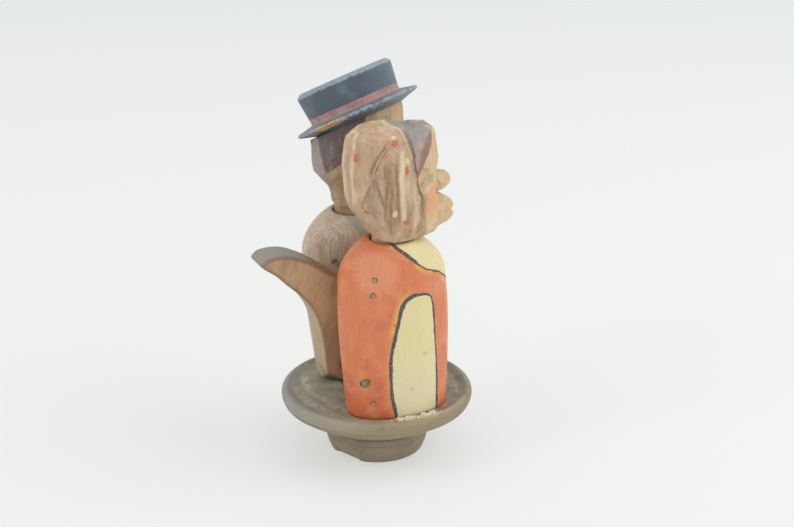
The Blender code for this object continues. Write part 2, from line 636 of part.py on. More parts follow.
NOSE = [(9.0, 1.0, 13.9), (11.0, 1.0, 13.1), (13.6, 1.1, 12.8), (14.3, 1.2, 11.4), (14.1, 1.0, 10.2),
        (13.0, 2.0, 10.4), (12.2, 1.7, 9.2), (11.4, 1.1, 8.7), (9.0, 1.8, 8.3), (9.0, 2.2, 11.6)]
UPPER_LIP = [(9.0, 3.4, 8.4), (11.6, 1.6, 8.1), (14.6, 0.9, 6.2), (15.1, 1.0, 5.0),
             (14.4, 1.3, 3.9), (12.8, 2.3, 5.0), (9.0, 3.6, 3.9)]
LOWER_LIP = [(9.0, 3.5, 4.05), (14.4, 1.2, 4.05), (15.25, 0.9, 2.9), (14.5, 0.8, 1.6),
             (12.9, 1.1, 0.9), (9.0, 3.0, 0.7), (12.6, 2.0, 2.6)]


def add_face(head, side, who):
    for label, points in (("nose", NOSE), ("upper_lip", UPPER_LIP), ("lower_lip", LOWER_LIP)):
        combine(head, hull(both_sides(side, points)), "UNION", who + "_" + label)


def add_neck(head, side, who):
    """The neck stands down into its socket, bored for the peg."""
    centre = Matrix.Translation((NECK_X, side * SIDE_Y, 0.0))
    low = body_top(side) - NECK_IN_SOCKET
    high = HEAD_BOTTOM + 4.0
    neck = turned([(0.0, low), (NECK_RADIUS, low), (NECK_RADIUS, high), (0.0, high)], 28, centre)
    combine(head, neck, "UNION", who + "_neck")
    top = PEG_TOP + SEAT_GAP
    wide = PEG_RADIUS + SEAT_GAP
    bore = turned([(0.0, low - 5.0), (wide, low - 5.0), (wide, top), (0.0, top)], 28, centre)
    combine(head, bore, "DIFFERENCE", who + "_peg_bore")


def make_woman_head(materials):
    side = -1
    face = loft([head_ring(side, *row) for row in WOMAN_FACE])
    head = place(face, "woman_head", materials["scarf_paint"], (NECK_X, side * SIDE_Y, HEAD_BOTTOM))
    scarf = loft([head_ring(side, *row) for row in WOMAN_SCARF])
    combine(head, scarf, "UNION", "woman_scarf")
    add_face(head, side, "woman")
    add_neck(head, side, "woman")
    return head


def hat_matrix():
    """From the hat's own frame, +Z along its crown, to the world. Zero lies at the brim's edge."""
    back = math.tan(math.radians(HAT_LEAN_BACK))
    out = math.tan(math.radians(HAT_LEAN_OUT))
    up = Vector((-back, out * math.hypot(1.0, back), 1.0)).normalized()
    return Matrix.Translation(HAT_CENTRE) @ up.to_track_quat("Z", "Y").to_matrix().to_4x4()


def make_man_head(materials):
    side = 1
    rings = loft([head_ring(side, *row) for row in MAN_FACE])
    head = place(rings, "man_head", materials["skin_paint"], (NECK_X, side * SIDE_Y, HEAD_BOTTOM))
    add_face(head, side, "man")
    add_neck(head, side, "man")
    seat = -HAT_BOSS_DEPTH - SEAT_GAP
    above = block((-40.0, -40.0, seat), (40.0, 40.0, seat + 40.0), hat_matrix())
    combine(head, above, "DIFFERENCE", "man_hat_seat")
    hole_end = seat - HAT_DOWEL_LENGTH / 2 - SEAT_GAP
    hole = turned([(0.0, hole_end), (HAT_DOWEL_RADIUS + SEAT_GAP, hole_end),
                   (HAT_DOWEL_RADIUS + SEAT_GAP, 3.0), (0.0, 3.0)], 16, hat_matrix())
    combine(head, hole, "DIFFERENCE", "man_hat_dowel_hole")
    return head


def hat_profile():
    edge = BRIM_THICKNESS / 2
    crown_base = BRIM_DROOP + edge
    top = crown_base + CROWN_HEIGHT
    return [(0.0, -HAT_BOSS_DEPTH), (HAT_BOSS_RADIUS, -HAT_BOSS_DEPTH),
            (HAT_BOSS_RADIUS + 0.9, -HAT_BOSS_DEPTH + 0.35), (BRIM_RADIUS - 0.3, -edge),
            (BRIM_RADIUS, 0.0), (BRIM_RADIUS - 0.2, edge), (CROWN_BASE_RADIUS, crown_base),
            (CROWN_TOP_RADIUS, top - CROWN_CHAMFER), (CROWN_TOP_RADIUS - CROWN_CHAMFER, top),
            (0.0, top)]


def make_hat(materials):
    axis = (NECK_X, SIDE_Y, HEAD_BOTTOM)
    hat = place(turned(hat_profile(), 48, hat_matrix()), "man_hat", materials["hat_paint"], axis,
                smooth_under=30)
    low = -HAT_BOSS_DEPTH - SEAT_GAP - HAT_DOWEL_LENGTH / 2
    high = low + HAT_DOWEL_LENGTH
    hole = turned([(0.0, low), (HAT_DOWEL_RADIUS + SEAT_GAP, low),
                   (HAT_DOWEL_RADIUS + SEAT_GAP, high + SEAT_GAP), (0.0, high + SEAT_GAP)],
                  16, hat_matrix())
    combine(hat, hole, "DIFFERENCE", "hat_dowel_hole")
    dowel = turned([(0.0, low), (HAT_DOWEL_RADIUS, low), (HAT_DOWEL_RADIUS, high), (0.0, high)],
                   16, hat_matrix())
    place(dowel, "hat_dowel", materials["dowel_wood"], axis, smooth_under=40)


def main():
    clear_scene()
    materials = make_materials()
    make_dish(materials)
    make_body(-1, "woman_body", materials["orange_paint"])
    make_body(1, "man_body", materials["brown_paint"])
    for side, who in ((-1, "woman"), (1, "man")):
        make_peg(side, who, materials)
        make_small_parts(side, who, materials)
    make_cross_nails(materials)
    make_lever(materials)
    make_woman_head(materials)
    make_man_head(materials)
    make_hat(materials)
    print("lever turn", round(LEVER_TURN, 3), "degrees for a head turn of", HEAD_TURN)


main()
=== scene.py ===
"""Looks of a carved and painted kissing couple: knife work, paint, wear and a plain stage."""

import math

import bmesh
import bpy
import numpy as np
from mathutils import Matrix, Vector


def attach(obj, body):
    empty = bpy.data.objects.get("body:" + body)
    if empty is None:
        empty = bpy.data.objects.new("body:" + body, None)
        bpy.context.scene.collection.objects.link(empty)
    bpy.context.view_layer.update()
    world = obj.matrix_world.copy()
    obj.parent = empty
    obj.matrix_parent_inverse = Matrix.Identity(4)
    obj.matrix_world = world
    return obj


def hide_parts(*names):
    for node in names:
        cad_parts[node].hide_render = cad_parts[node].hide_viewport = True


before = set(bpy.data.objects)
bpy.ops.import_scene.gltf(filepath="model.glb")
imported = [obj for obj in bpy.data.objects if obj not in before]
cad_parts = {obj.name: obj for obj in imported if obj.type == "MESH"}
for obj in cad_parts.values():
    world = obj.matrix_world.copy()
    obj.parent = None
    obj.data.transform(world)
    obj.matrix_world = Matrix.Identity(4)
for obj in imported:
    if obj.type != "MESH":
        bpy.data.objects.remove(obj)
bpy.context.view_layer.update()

bl_info = {
    "name": "Carved Kissing Couple",
    "version": (1, 0, 0),
    "blender": (4, 5, 0),
    "location": "3D View > Sidebar > Couple",
    "description": "Carves, paints and wears the pieces of a lever-worked wooden couple",
    "category": "Object",
}
MM = 0.001
WELD = 0.000002

# Places that the pieces share, in millimetres in the frame
WOMAN_Y = -11.15
MAN_Y = 11.15
HAT_CENTRE = Vector((0.6, 12.0, 79.1))
HAT_LEAN_BACK = math.radians(16.6)
HAT_LEAN_OUT = math.radians(23.3)
PIVOT_PLACE = (-9.3, 23.9)
NECK_TOP = 59.0         # the middles of the knife's flat cuts lie above it
WOMAN_FACE_X = 10.0     # and behind this place, so that the nose and lips stay
MAN_FACE_X = 9.5
HAT_REST = -3.2         # and, on the man, below this height, counted from the brim along the hat
HEAD_LIFT = 0.42        # how far the top of the man's visible head rises to the hat
FOOT_DROP = 0.34        # how far the bodies' visible feet reach down to the dish

# The stage, in metres
FLOOR_REACH = 3.0
LAMP_AIM = Vector((0.0, 0.0, 0.04))

# The turned pieces' profiles: radius and height, from the axis below round to the axis above
DISH_PROFILE = (
    (0.0, 0.0), (10.5, 0.0), (10.9, 0.4), (11.68, 2.3), (12.2, 4.6), (12.0, 4.75), (12.2, 4.9),
    (12.35, 5.45), (12.2, 6.0), (11.7, 6.4), (12.35, 6.8), (15.7, 8.42), (19.05, 10.3), (21.89, 12.1),
    (22.12, 12.78), (22.42, 13.39), (22.5, 14.19), (22.34, 14.94), (21.79, 15.48), (21.2, 15.6),
    (20.51, 15.24), (19.71, 14.92), (18.9, 14.8), (0.0, 14.8),
)
HAT_PROFILE = (
    (0.0, -1.7), (10.4, -1.7), (11.3, -1.35), (14.7, -0.4), (15.0, 0.0), (14.8, 0.4), (10.85, 1.25),
    (11.65, 8.0), (10.75, 8.9), (0.0, 8.9),
)

# The sleeve painted on each side of the dress, from its top at the left down and round
SLEEVE = (
    (1.4, 44.8), (-0.6, 44.1), (-1.7, 42.2), (-2.6, 38.2), (-3.5, 33.9), (-4.2, 30.0),
    (-4.1, 26.2), (-3.9, 21.0), (-2.6, 15.0), (-1.6, 10.0), (7.9, 10.0), (7.9, 21.0), (7.6, 28.0),
    (7.0, 35.0), (6.6, 42.2), (5.5, 44.2), (3.3, 44.8),
)

# The blouse above the neckline, on both sides
BLOUSE = (
    (-3.4, 57.8), (-2.2, 56.0), (-0.5, 54.8), (1.2, 53.3), (2.9, 51.6), (4.6, 50.4),
    (7.4, 49.3), (10.0, 47.6), (11.9, 45.2), (13.2, 42.8), (16.0, 42.0), (16.0, 62.0), (-3.4, 62.0),
)

# The shirt above the coat's lapel, on both sides
SHIRT = (
    (-5.6, 58.0), (-4.9, 55.6), (-3.6, 53.4), (-0.8, 50.8), (3.6, 48.6), (7.2, 46.8),
    (11.0, 45.2), (13.2, 42.8), (16.0, 42.0), (16.0, 62.0), (-5.6, 62.0),
)

# The face and hair in front of the scarf's edge, and the edges of the hair
SCARF_FRONT = (
    (-2.0, 90.0), (-1.9, 83.5), (-0.1, 82.6), (0.1, 80.2), (0.8, 78.0), (1.2, 75.4), (2.2, 72.2),
    (2.6, 69.7), (3.6, 67.1), (3.6, 64.1), (2.7, 61.5), (2.3, 58.9), (2.0, 54.0),
    (20.0, 54.0), (20.0, 90.0),
)
WOMAN_HAIR = (
    (-3.0, 85.0), (3.5, 85.0), (7.8, 84.0), (7.4, 82.2), (7.0, 79.8), (5.3, 77.1), (3.8, 74.6),
    (2.7, 71.8), (1.6, 73.6), (0.2, 75.4), (0.0, 80.1), (-3.0, 83.5),
)
WOMAN_LOCK = (
    (7.0, 81.4), (6.9, 79.8), (5.2, 77.1), (3.7, 74.6), (2.8, 72.2), (2.1, 73.4), (2.5, 75.5),
    (3.5, 78.6), (5.3, 80.9),
)
MAN_HAIR = (
    (-16.0, 60.4), (-5.8, 61.0), (-7.8, 63.5), (-9.2, 66.3), (-8.8, 67.2), (-7.8, 68.7), (-5.6, 70.4),
    (-1.4, 79.4), (2.0, 90.0), (-16.0, 90.0),
)

# How far across the man's head the painted light on the hair of its back begins: height and place
REAR_HAIR = ((62.0, 7.2), (66.7, 7.3), (70.0, 7.9), (74.3, 9.4), (80.0, 10.4))

# Knife cuts of the woman's scarf: places, half width, depth and dirt, on the side that shows
SCARF_CUTS = (
    (((-4.9, -18.4, 81.6), (-5.8, -18.4, 80.2), (-7.0, -18.4, 78.7), (-7.9, -18.3, 77.2),
      (-8.6, -18.2, 75.5), (-9.0, -18.1, 73.7)), 0.55, 0.35, 0.9),
    (((-4.3, -18.8, 80.8), (-5.5, -18.8, 79.6), (-6.7, -18.9, 77.9), (-7.6, -18.7, 75.9),
      (-8.4, -18.4, 73.9)), 0.45, 0.25, 0.7),
    (((-8.8, -18.1, 72.0), (-9.3, -17.7, 70.6), (-9.7, -16.8, 68.8), (-10.0, -15.9, 66.7)), 0.6, 0.35, 0.8),
    (((-7.9, -18.7, 72.2), (-7.1, -19.1, 69.8), (-6.6, -19.2, 68.2), (-6.0, -19.3, 66.3)), 0.6, 0.4, 0.8),
    (((-6.2, -19.2, 78.0), (-6.1, -19.7, 74.7), (-6.0, -19.8, 71.3), (-6.1, -19.5, 67.7),
      (-5.7, -18.6, 63.4)), 0.45, 0.25, 0.7),
    (((-5.0, -20.4, 72.9), (-4.8, -20.5, 70.2), (-4.9, -20.1, 67.1), (-4.2, -18.4, 60.8)), 0.45, 0.22, 0.6),
    (((-3.3, -19.7, 79.1), (-3.6, -20.3, 76.8), (-3.7, -20.6, 74.0), (-3.5, -20.6, 71.2),
      (-3.2, -20.4, 67.6), (-2.6, -19.2, 61.3)), 0.6, 0.3, 0.75),
    (((-0.3, -20.4, 77.5), (-0.5, -20.8, 74.3), (-0.2, -20.8, 70.8), (-0.4, -20.6, 67.3),
      (-0.1, -20.0, 63.6), (0.3, -18.6, 59.5)), 0.35, 0.10, 0.3),
    (((-0.1, -15.6, 82.9), (0.0, -18.0, 81.8), (0.4, -19.3, 79.9), (0.8, -20.1, 78.0), (1.2, -20.2, 75.4),
      (2.2, -19.1, 72.2)), 0.8, 0.5, 1.0),
    (((2.2, -19.1, 72.2), (2.6, -18.8, 69.7), (3.6, -18.2, 67.1), (3.6, -17.7, 64.1), (2.7, -18.7, 61.5),
      (2.3, -17.8, 58.9)), 0.7, 0.25, 0.45),
    (((-8.0, -18.6, 73.2), (-8.2, -18.5, 72.2), (-8.3, -18.4, 71.2)), 1.0, 0.45, 0.9),
    (((-7.3, -14.4, 60.3), (-6.6, -15.6, 60.2), (-5.1, -16.1, 58.7)), 0.4, 0.2, 0.8),
    (((9.3, -13.1, 69.3), (9.8, -13.1, 68.4), (10.0, -13.1, 67.8)), 0.5, 0.25, 0.7),
    (((6.6, -15.4, 81.4), (6.6, -16.0, 79.8), (4.8, -17.6, 77.1), (3.4, -18.4, 74.6), (2.8, -18.7, 72.5)),
     0.35, 0.15, 0.5),
)

# Strokes of colour on the same side: mask, places, half width and strength
SCARF_STROKES = (
    ("pale", ((-1.8, -19.5, 79.7), (-2.2, -20.4, 76.7), (-2.6, -20.7, 73.4), (-2.3, -20.6, 68.7),
              (-1.6, -19.6, 62.5)), 0.8, 0.95),
    ("pale", ((0.8, -20.5, 71.0), (0.9, -20.4, 68.2), (1.1, -20.0, 64.8), (1.3, -19.0, 61.1)), 0.35, 0.8),
    ("pale",
     ((-2.8, -10.9, 83.5), (-1.9, -13.7, 83.5), (-0.8, -15.5, 83.0), (-0.4, -17.8, 82.0)), 0.5, 0.8),
    ("pale",
     ((-11.3, -8.9, 76.6), (-11.4, -8.4, 71.8), (-11.2, -8.9, 68.5), (-10.6, -9.8, 65.6)), 0.6, 0.8),
    ("pale", ((-10.7, -8.7, 80.6), (-10.1, -9.6, 81.8), (-9.2, -10.8, 82.4)), 0.7, 0.9),
    ("pale", ((-11.4, -13.6, 77.0), (-11.4, -13.6, 71.3), (-10.9, -14.4, 67.4)), 1.1, 0.75),
    ("pale", ((6.2, -13.2, 82.4), (6.7, -14.0, 82.2)), 0.9, 0.8),
    ("dirt", ((-8.2, -18.5, 72.6), (-8.3, -18.4, 72.0)), 1.1, 0.9),
    ("dirt", ((1.0, -20.2, 77.6), (1.1, -20.2, 75.6), (1.7, -19.6, 73.8)), 1.0, 0.8),
    ("dirt", ((3.8, -17.9, 67.0), (3.9, -17.6, 63.6), (3.4, -17.6, 60.4)), 1.0, 0.5),
    ("grey",
     ((-8.6, -18.2, 70.9), (-9.0, -17.8, 68.4), (-8.0, -17.6, 66.0), (-7.5, -17.2, 63.6)), 1.2, 0.9),
    ("brown",
     ((-4.9, -19.6, 77.5), (-4.9, -20.2, 72.0), (-4.8, -20.0, 66.6), (-4.2, -19.0, 61.6)), 2.3, 0.8),
    ("grey", ((-1.0, -13.3, 83.4), (2.0, -14.6, 83.2), (4.6, -15.0, 82.6)), 1.8, 0.7),
    ("ochre", ((-9.6, -17.2, 77.2), (-9.6, -17.2, 76.2)), 1.6, 0.6),
    ("ochre", ((-1.3, -19.4, 62.4), (-1.3, -19.2, 60.8)), 1.6, 0.7),
    ("ochre", ((-6.6, -15.8, 59.6), (-5.6, -15.9, 59.2)), 1.0, 0.8),
    ("brown", ((-1.0, -19.8, 66.0), (-0.6, -19.2, 62.6), (-0.2, -18.4, 59.8)), 1.5, 0.5),
    ("pink", ((-10.8, -15.1, 70.2), (-10.8, -15.1, 68.6)), 1.3, 0.9),
    ("pink", ((-11.2, -12.0, 80.2), (-11.2, -14.0, 79.0)), 1.2, 0.7),
    ("pink", ((-6.4, -17.2, 81.8), (-4.4, -18.0, 81.4)), 1.6, 0.5),
)

# Knife cuts of the man's head: places, half width, depth and dirt
MAN_CUTS = (
    (((-7.4, 4.6, 71.3), (-8.7, 5.7, 69.7), (-9.4, 7.0, 67.7), (-9.5, 7.7, 66.3)), 0.45, 0.22, 0.6),
    (((-2.2, 2.8, 79.9), (-4.9, 3.6, 75.8), (-7.4, 4.6, 71.3)), 0.4, 0.18, 0.5),
)

# Where wood has broken off the hat's edge, and how far each piece reaches
HAT_CHIPS = (
    ((-11.9, 4.4, 78.2), 1.6), ((-11.2, 3.2, 78.8), 1.9), ((-10.2, 1.9, 79.7), 1.9),
    ((-9.0, 0.8, 80.5), 1.7), ((-7.6, -0.2, 81.6), 1.0), ((-11.8, 8.0, 76.3), 1.2),
    ((-12.5, 10.1, 75.3), 1.3), ((-4.8, -1.8, 82.9), 0.7), ((5.0, -1.0, 84.6), 0.7),
    ((13.0, 8.6, 84.6), 1.0), ((3.0, 25.0, 74.5), 1.1),
)

# Where the dish's foot is broken off: a plane's place, direction and reach, and the bare wood's middle
FOOT_BREAK = ((-9.4, -4.3, 1.0), (-0.60, -0.26, -0.75), 4.5)
FOOT_BARE = (-10.2, -4.7, 0.9)

# The flat cut at the back of the man's head: the same
NAPE_CUT = ((-9.95, 8.0, 71.0), (-1.0, -0.3, -0.05), 5.0)

# Dabs of paint on the scarf: colour, place, half width and half height
SCARF_DABS = (
    ("red", (-11.1, -14.8, 77.5), 0.75, 1.00), ("red", (-3.4, -18.7, 81.1), 0.75, 0.70),
    ("red", (-1.3, -20.7, 75.2), 0.45, 1.00), ("red", (-9.6, -16.2, 64.6), 0.70, 0.60),
    ("red", (-1.0, -19.6, 63.0), 0.75, 0.70), ("red", (-10.6, -6.4, 71.2), 0.55, 0.80),
    ("red", (-9.2, -3.8, 76.2), 0.60, 0.80), ("red", (-5.0, -2.4, 70.4), 0.55, 0.85),
    ("red", (-2.2, -2.6, 64.2), 0.70, 0.55), ("red", (-1.0, -2.2, 77.0), 0.50, 0.80),
    ("yellow", (-3.3, -17.5, 82.1), 0.55, 0.45), ("yellow", (-10.8, -13.6, 80.0), 0.70, 0.70),
    ("yellow", (-1.0, -20.4, 77.4), 0.42, 0.55), ("yellow", (-4.0, -20.2, 65.4), 0.70, 0.78),
    ("yellow", (-5.0, -8.8, 83.4), 0.60, 0.50), ("yellow", (-9.6, -5.2, 66.8), 0.55, 0.65),
    ("yellow", (-4.4, -2.2, 79.4), 0.55, 0.55), ("yellow", (-1.2, -1.6, 70.6), 0.50, 0.70),
    ("green", (-10.0, -15.7, 66.3), 0.40, 0.40), ("green", (-6.2, -2.6, 66.4), 0.45, 0.45),
)

# Old glue: name, tone, places along the woman's foot, lump size, how far lumps stray, and seed
GLUE_SEAMS = (
    ("glue_lumps_left", "glue",
     ((-2.6, -18.7, 14.9), (-1.6, -19.6, 15.0), (-0.4, -19.5, 15.0), (0.8, -19.0, 14.9)), 0.9, 0.5, 41),
    ("glue_lumps_right", "glue",
     ((3.2, -19.1, 14.9), (4.6, -19.2, 15.0), (5.8, -18.6, 14.9), (6.6, -17.8, 14.9)), 0.8, 0.5, 43),
    ("glue_crumbs", "glue",
     ((-3.4, -18.6, 14.85), (-0.6, -19.6, 14.9), (3.6, -19.6, 14.9), (7.2, -17.8, 14.85)), 0.45, 0.75, 44),
    ("glue_seam", "dish_worn",
     ((-12.9, -9.6, 14.85), (-12.3, -11.9, 14.85), (-10.9, -14.4, 14.85), (-8.9, -16.4, 14.85),
      (-6.2, -17.8, 14.85), (-3.0, -18.5, 14.85)), 0.24, 0.16, 42),
)

# Pale streaks of dust and glue in the dish: places, half width and strength
DISH_STREAKS = (
    (((-13.6, 12.0, 14.8), (-14.6, 9.2, 14.8), (-15.4, 6.0, 14.8), (-15.2, 3.2, 14.8)), 1.3, 1.0),
    (((-14.9, 1.4, 14.8), (-14.2, -2.0, 14.8), (-13.5, -4.6, 14.8)), 1.0, 0.7),
    (((-12.8, -6.4, 14.8), (-11.9, -8.6, 14.8), (-11.5, -11.4, 14.8)), 0.9, 0.9),
    (((-17.3, 10.6, 14.9), (-18.0, 6.0, 14.9), (-18.0, 0.6, 14.9), (-16.6, -6.4, 14.9)), 1.5, 0.5),
    (((-1.0, -19.9, 15.1), (3.0, -19.9, 15.1), (6.6, -18.7, 15.0)), 0.8, 0.9),
    (((17.0, -6.8, 14.8), (17.9, -2.0, 14.8), (17.6, 4.0, 14.8)), 1.6, 0.5),
    (((-7.0, 19.0, 15.0), (1.0, 20.4, 15.2), (8.0, 18.6, 15.0)), 1.3, 0.5),
)


def painted(red, green, blue):
    """A colour of the finish, given as 0 to 255 on screen, in the linear values that nodes take."""
    return tuple(((c / 255 + 0.055) / 1.055) ** 2.4 for c in (red, green, blue))


def colour_property(name, description, red, green, blue):
    """A colour that a user can change."""
    return bpy.props.FloatVectorProperty(
        name=name, description=description, default=painted(red, green, blue),
        subtype="COLOR", size=3, min=0.0, max=1.0)


def length_property(name, description, default):
    """A length in metres that a user can change."""
    return bpy.props.FloatProperty(
        name=name, description=description, default=default, min=0.0, precision=5, unit="LENGTH")


class WomanLook(bpy.types.PropertyGroup):
    """Colours of the woman."""
    dress: colour_property("Dress", "Orange paint of the dress", 216, 126, 84)
    dress_shade: colour_property("Worn dress", "Darker orange where the paint has worn", 182, 100, 68)
    dress_deep: colour_property("Deep dress", "Strong orange low on the dress", 206, 98, 56)
    dress_smudge: colour_property("Smudge", "Brown smudges on the dress", 160, 112, 84)
    # Painted light on the dress's front and the painted highlight on its shoulder.
    dress_painted_light: colour_property("Pale dress", "Rubbed, paler orange", 226, 158, 122)
    ochre: colour_property("Ochre", "Yellow paint that shows beside the outlines", 232, 168, 92)
    blouse: colour_property("Blouse", "Cream paint of the sleeves and the blouse", 225, 211, 160)
    # Also painted shade in the dress's hollows and at the upper edge of the nail's hole.
    outline: colour_property("Outline", "Dark line round the painted shapes", 70, 72, 72)
    scarf: colour_property("Scarf", "Bare carved wood of the scarf", 190, 160, 130)
    scarf_pale: colour_property("Pale scarf", "Rubbed ridges of the scarf", 222, 203, 170)
    # Also painted shade in the scarf's crease and low on the man's face.
    scarf_dark: colour_property("Dark scarf", "Dirt in the scarf's cuts", 128, 98, 76)
    # Also painted shade low on the face beside the scarf.
    scarf_brown: colour_property("Brown scarf", "Browned field of the scarf's side", 160, 128, 100)
    scarf_grey: colour_property("Grey scarf", "Greyed wood of the scarf", 158, 136, 118)
    scarf_pink: colour_property("Pink scarf", "Faded pink on the scarf", 218, 172, 146)
    scarf_ochre: colour_property("Yellow scarf", "Yellowed wood of the scarf", 204, 164, 116)
    red: colour_property("Red dabs", "Red dabs of the scarf's pattern", 198, 112, 98)
    yellow: colour_property("Yellow dabs", "Yellow dabs of the scarf's pattern", 220, 200, 146)
    green: colour_property("Green dabs", "Green dabs of the scarf's pattern", 140, 146, 116)
    hair: colour_property("Hair", "Grey-brown wash of the hair", 150, 144, 142)
    hair_worn: colour_property("Worn hair", "Hair whose wash has worn to pink", 176, 148, 136)
    lock: colour_property("Lock", "Darker lock on the forehead", 144, 108, 100)
    skin: colour_property("Skin", "Bare wood of the face", 208, 178, 136)
    blush: colour_property("Blush", "Blush on the cheeks", 222, 156, 114)
    eye: colour_property("Eye", "Green dab of the eye", 134, 158, 124)
    lips: colour_property("Lips", "Rubbed red of the lips", 210, 170, 124)


class ManLook(bpy.types.PropertyGroup):
    """Colours of the man."""
    coat: colour_property("Coat", "Brown stain of the coat", 208, 192, 172)
    # Also painted shade in the coat's hollows.
    coat_dark: colour_property("Coat grain", "Dark grain in the coat", 164, 134, 106)
    shirt: colour_property("Shirt", "Blue-grey paint of the shirt", 164, 164, 150)
    hair: colour_property("Hair", "Brown wash of the hair", 110, 96, 94)
    # Painted light on the hair at the back of the head.
    hair_painted_light: colour_property("Grey hair", "Rubbed hair at the back of the head", 166, 152, 148)
    skin: colour_property("Skin", "Bare wood of the face", 188, 162, 128)
    hat: colour_property("Hat", "Dark blue-grey paint of the hat", 82, 94, 106)
    # Also the painted sheen on the hat's front.
    hat_worn_and_sheen: colour_property("Worn hat", "Rubbed paint on the hat's edges", 152, 166, 173)
    band: colour_property("Band", "Dusty red band", 200, 136, 128)
    chip: colour_property("Chip", "Bare wood where the brim is chipped", 206, 168, 108)


class WoodLook(bpy.types.PropertyGroup):
    """Colours of the bare and stained wood, the steel and the glue."""
    dish: colour_property("Dish", "Grey-brown stain of the dish", 142, 134, 120)
    # Also painted shade and shadow on the dish, the coat and the nails.
    dish_dark: colour_property("Dark dish", "Dark stain in the dish's grain", 106, 98, 90)
    dish_dust: colour_property("Dust", "Pale dust and old glue in the dish", 184, 180, 158)
    # Painted reflection of the sky on the rim's left side.
    dish_reflection: colour_property("Grey dish", "Grey sheen of the rim", 162, 164, 160)
    dish_worn: colour_property("Worn dish", "Rubbed wood on the rim", 166, 142, 98)
    lever: colour_property("Lever", "Stained wood of the lever", 190, 156, 118)
    # Also painted shade in the lever's hollows.
    lever_dark: colour_property("Lever grain", "Dark grain of the lever", 142, 112, 90)
    lever_grey: colour_property("Handled lever", "Grey, handled edge of the lever", 150, 148, 140)
    dowel: colour_property("Dowel", "Pale wood of the pegs and dowels", 196, 168, 128)
    steel: colour_property("Steel", "Dull, painted steel of nails and pins", 160, 151, 126)
    glue: colour_property("Glue", "Old cream glue", 216, 210, 184)


class KnifeLook(bpy.types.PropertyGroup):
    """Sizes of the fine mesh and the knife's marks."""
    head_grain: length_property("Head mesh", "Cell of the fine mesh of the heads", 0.00019)
    body_grain: length_property("Body mesh", "Cell of the fine mesh of the bodies", 0.00030)
    hat_grain: length_property("Hat mesh", "Cell of the fine mesh of the hat", 0.00020)
    dish_grain: length_property("Dish mesh", "Cell of the fine mesh of the dish", 0.00028)
    lever_grain: length_property("Lever mesh", "Cell of the fine mesh of the lever", 0.00024)
    facet_depth: length_property("Facet depth", "Depth of the knife's flat cuts", 0.00026)
    turning_depth: length_property("Turning marks", "Depth of the lathe's marks", 0.00007)
    paint_depth: length_property("Paint", "Thickness of a dab of paint", 0.00004)


class StageLook(bpy.types.PropertyGroup):
    """Camera, floor and lights."""
    place: bpy.props.FloatVectorProperty(
        name="Camera", description="Place of the camera", size=3, unit="LENGTH", subtype="XYZ",
        default=(-0.16692, -0.39595, 0.21531))
    turn: bpy.props.FloatProperty(
        name="Turn", description="Camera's turn about the upright axis", unit="ROTATION",
        default=math.radians(-23.5))
    dip: bpy.props.FloatProperty(
        name="Dip", description="Camera's dip below level", unit="ROTATION",
        default=math.radians(21.5))
    lens: bpy.props.FloatProperty(
        name="Lens", description="Focal length in millimetres", default=90.7, min=10.0)
    floor: colour_property("Floor", "Pale floor", 240, 242, 240)
    floor_far: colour_property("Far floor", "Pale floor farther off", 226, 231, 234)
    glow: bpy.props.FloatProperty(
        name="Glow", description="Share of the floor's own light in what the camera sees",
        default=0.55, min=0.0, max=1.0)
    sky: bpy.props.FloatProperty(
        name="Sky", description="Strength of the even light", default=0.80, min=0.0)
    key: bpy.props.FloatProperty(
        name="Key", description="Power of the broad lamp at the right, in watts", default=1.5, min=0.0)
    rim: bpy.props.FloatProperty(
        name="Rim", description="Power of the small lamp at the left, in watts", default=0.75, min=0.0)


class Wire:
    """A value in a material's tree that Python's own operators work on."""

    def __init__(self, tree, socket):
        self.tree = tree
        self.socket = socket

    def math(self, operation, *others):
        node = self.tree.nodes.new("ShaderNodeMath")
        node.operation = operation
        for target, value in zip(node.inputs, (self, *others)):
            plug(self.tree, target, value)
        return Wire(self.tree, node.outputs[0])

    def __add__(self, other):
        return self.math("ADD", other)

    def __sub__(self, other):
        return self.math("SUBTRACT", other)

    def __mul__(self, other):
        return self.math("MULTIPLY", other)

    def __truediv__(self, other):
        return self.math("DIVIDE", other)

    def __rsub__(self, other):
        return self.math("MULTIPLY_ADD", -1.0, other)

    def __abs__(self):
        return self.math("ABSOLUTE")

    def __pow__(self, power):
        return self.math("POWER", power)

    __radd__ = __add__
    __rmul__ = __mul__

    def also(self, output):
        """Another output of the node that this value comes from."""
        return Wire(self.tree, self.socket.node.outputs[output])


def plug(tree, target, value):
    """Links a wire to a socket, or writes a plain value on it."""
    if isinstance(value, Wire):
        tree.links.new(value.socket, target)
    elif target.type == "RGBA":
        target.default_value = (*value[:3], 1.0)
    else:
        target.default_value = value


class Tree:
    """A node tree that is built in code."""

    def node(self, kind, settings=None, inputs=None, output=0):
        """Adds a node, sets its settings, then its sockets, and gives one output as a wire."""
        made = self.tree.nodes.new(kind)
        for key, value in (settings or {}).items():
            setattr(made, key, value)
        named = {s.name: s for s in reversed(made.inputs) if s.enabled}
        named.update({s.identifier: s for s in made.inputs})
        for key, value in (inputs or {}).items():
            plug(self.tree, made.inputs[key] if isinstance(key, int) else named[key], value)
        return Wire(self.tree, made.outputs[output])

    def parts(self, vector):
        """The three numbers of a vector."""
        made = self.tree.nodes.new("ShaderNodeSeparateXYZ")
        self.tree.links.new(vector.socket, made.inputs[0])
        return tuple(Wire(self.tree, socket) for socket in made.outputs)

    def joined(self, x, y, z):
        """A vector of three numbers."""
        return self.node("ShaderNodeCombineXYZ", None, {0: x, 1: y, 2: z})

    def vector(self, operation, *values, output=0):
        """A vector sum, product and so on."""
        return self.node(
            "ShaderNodeVectorMath", {"operation": operation}, dict(enumerate(values)), output=output)

    def scaled(self, vector, amount):
        """A vector times a number."""
        return self.node(
            "ShaderNodeVectorMath", {"operation": "SCALE"}, {"Vector": vector, "Scale": amount})


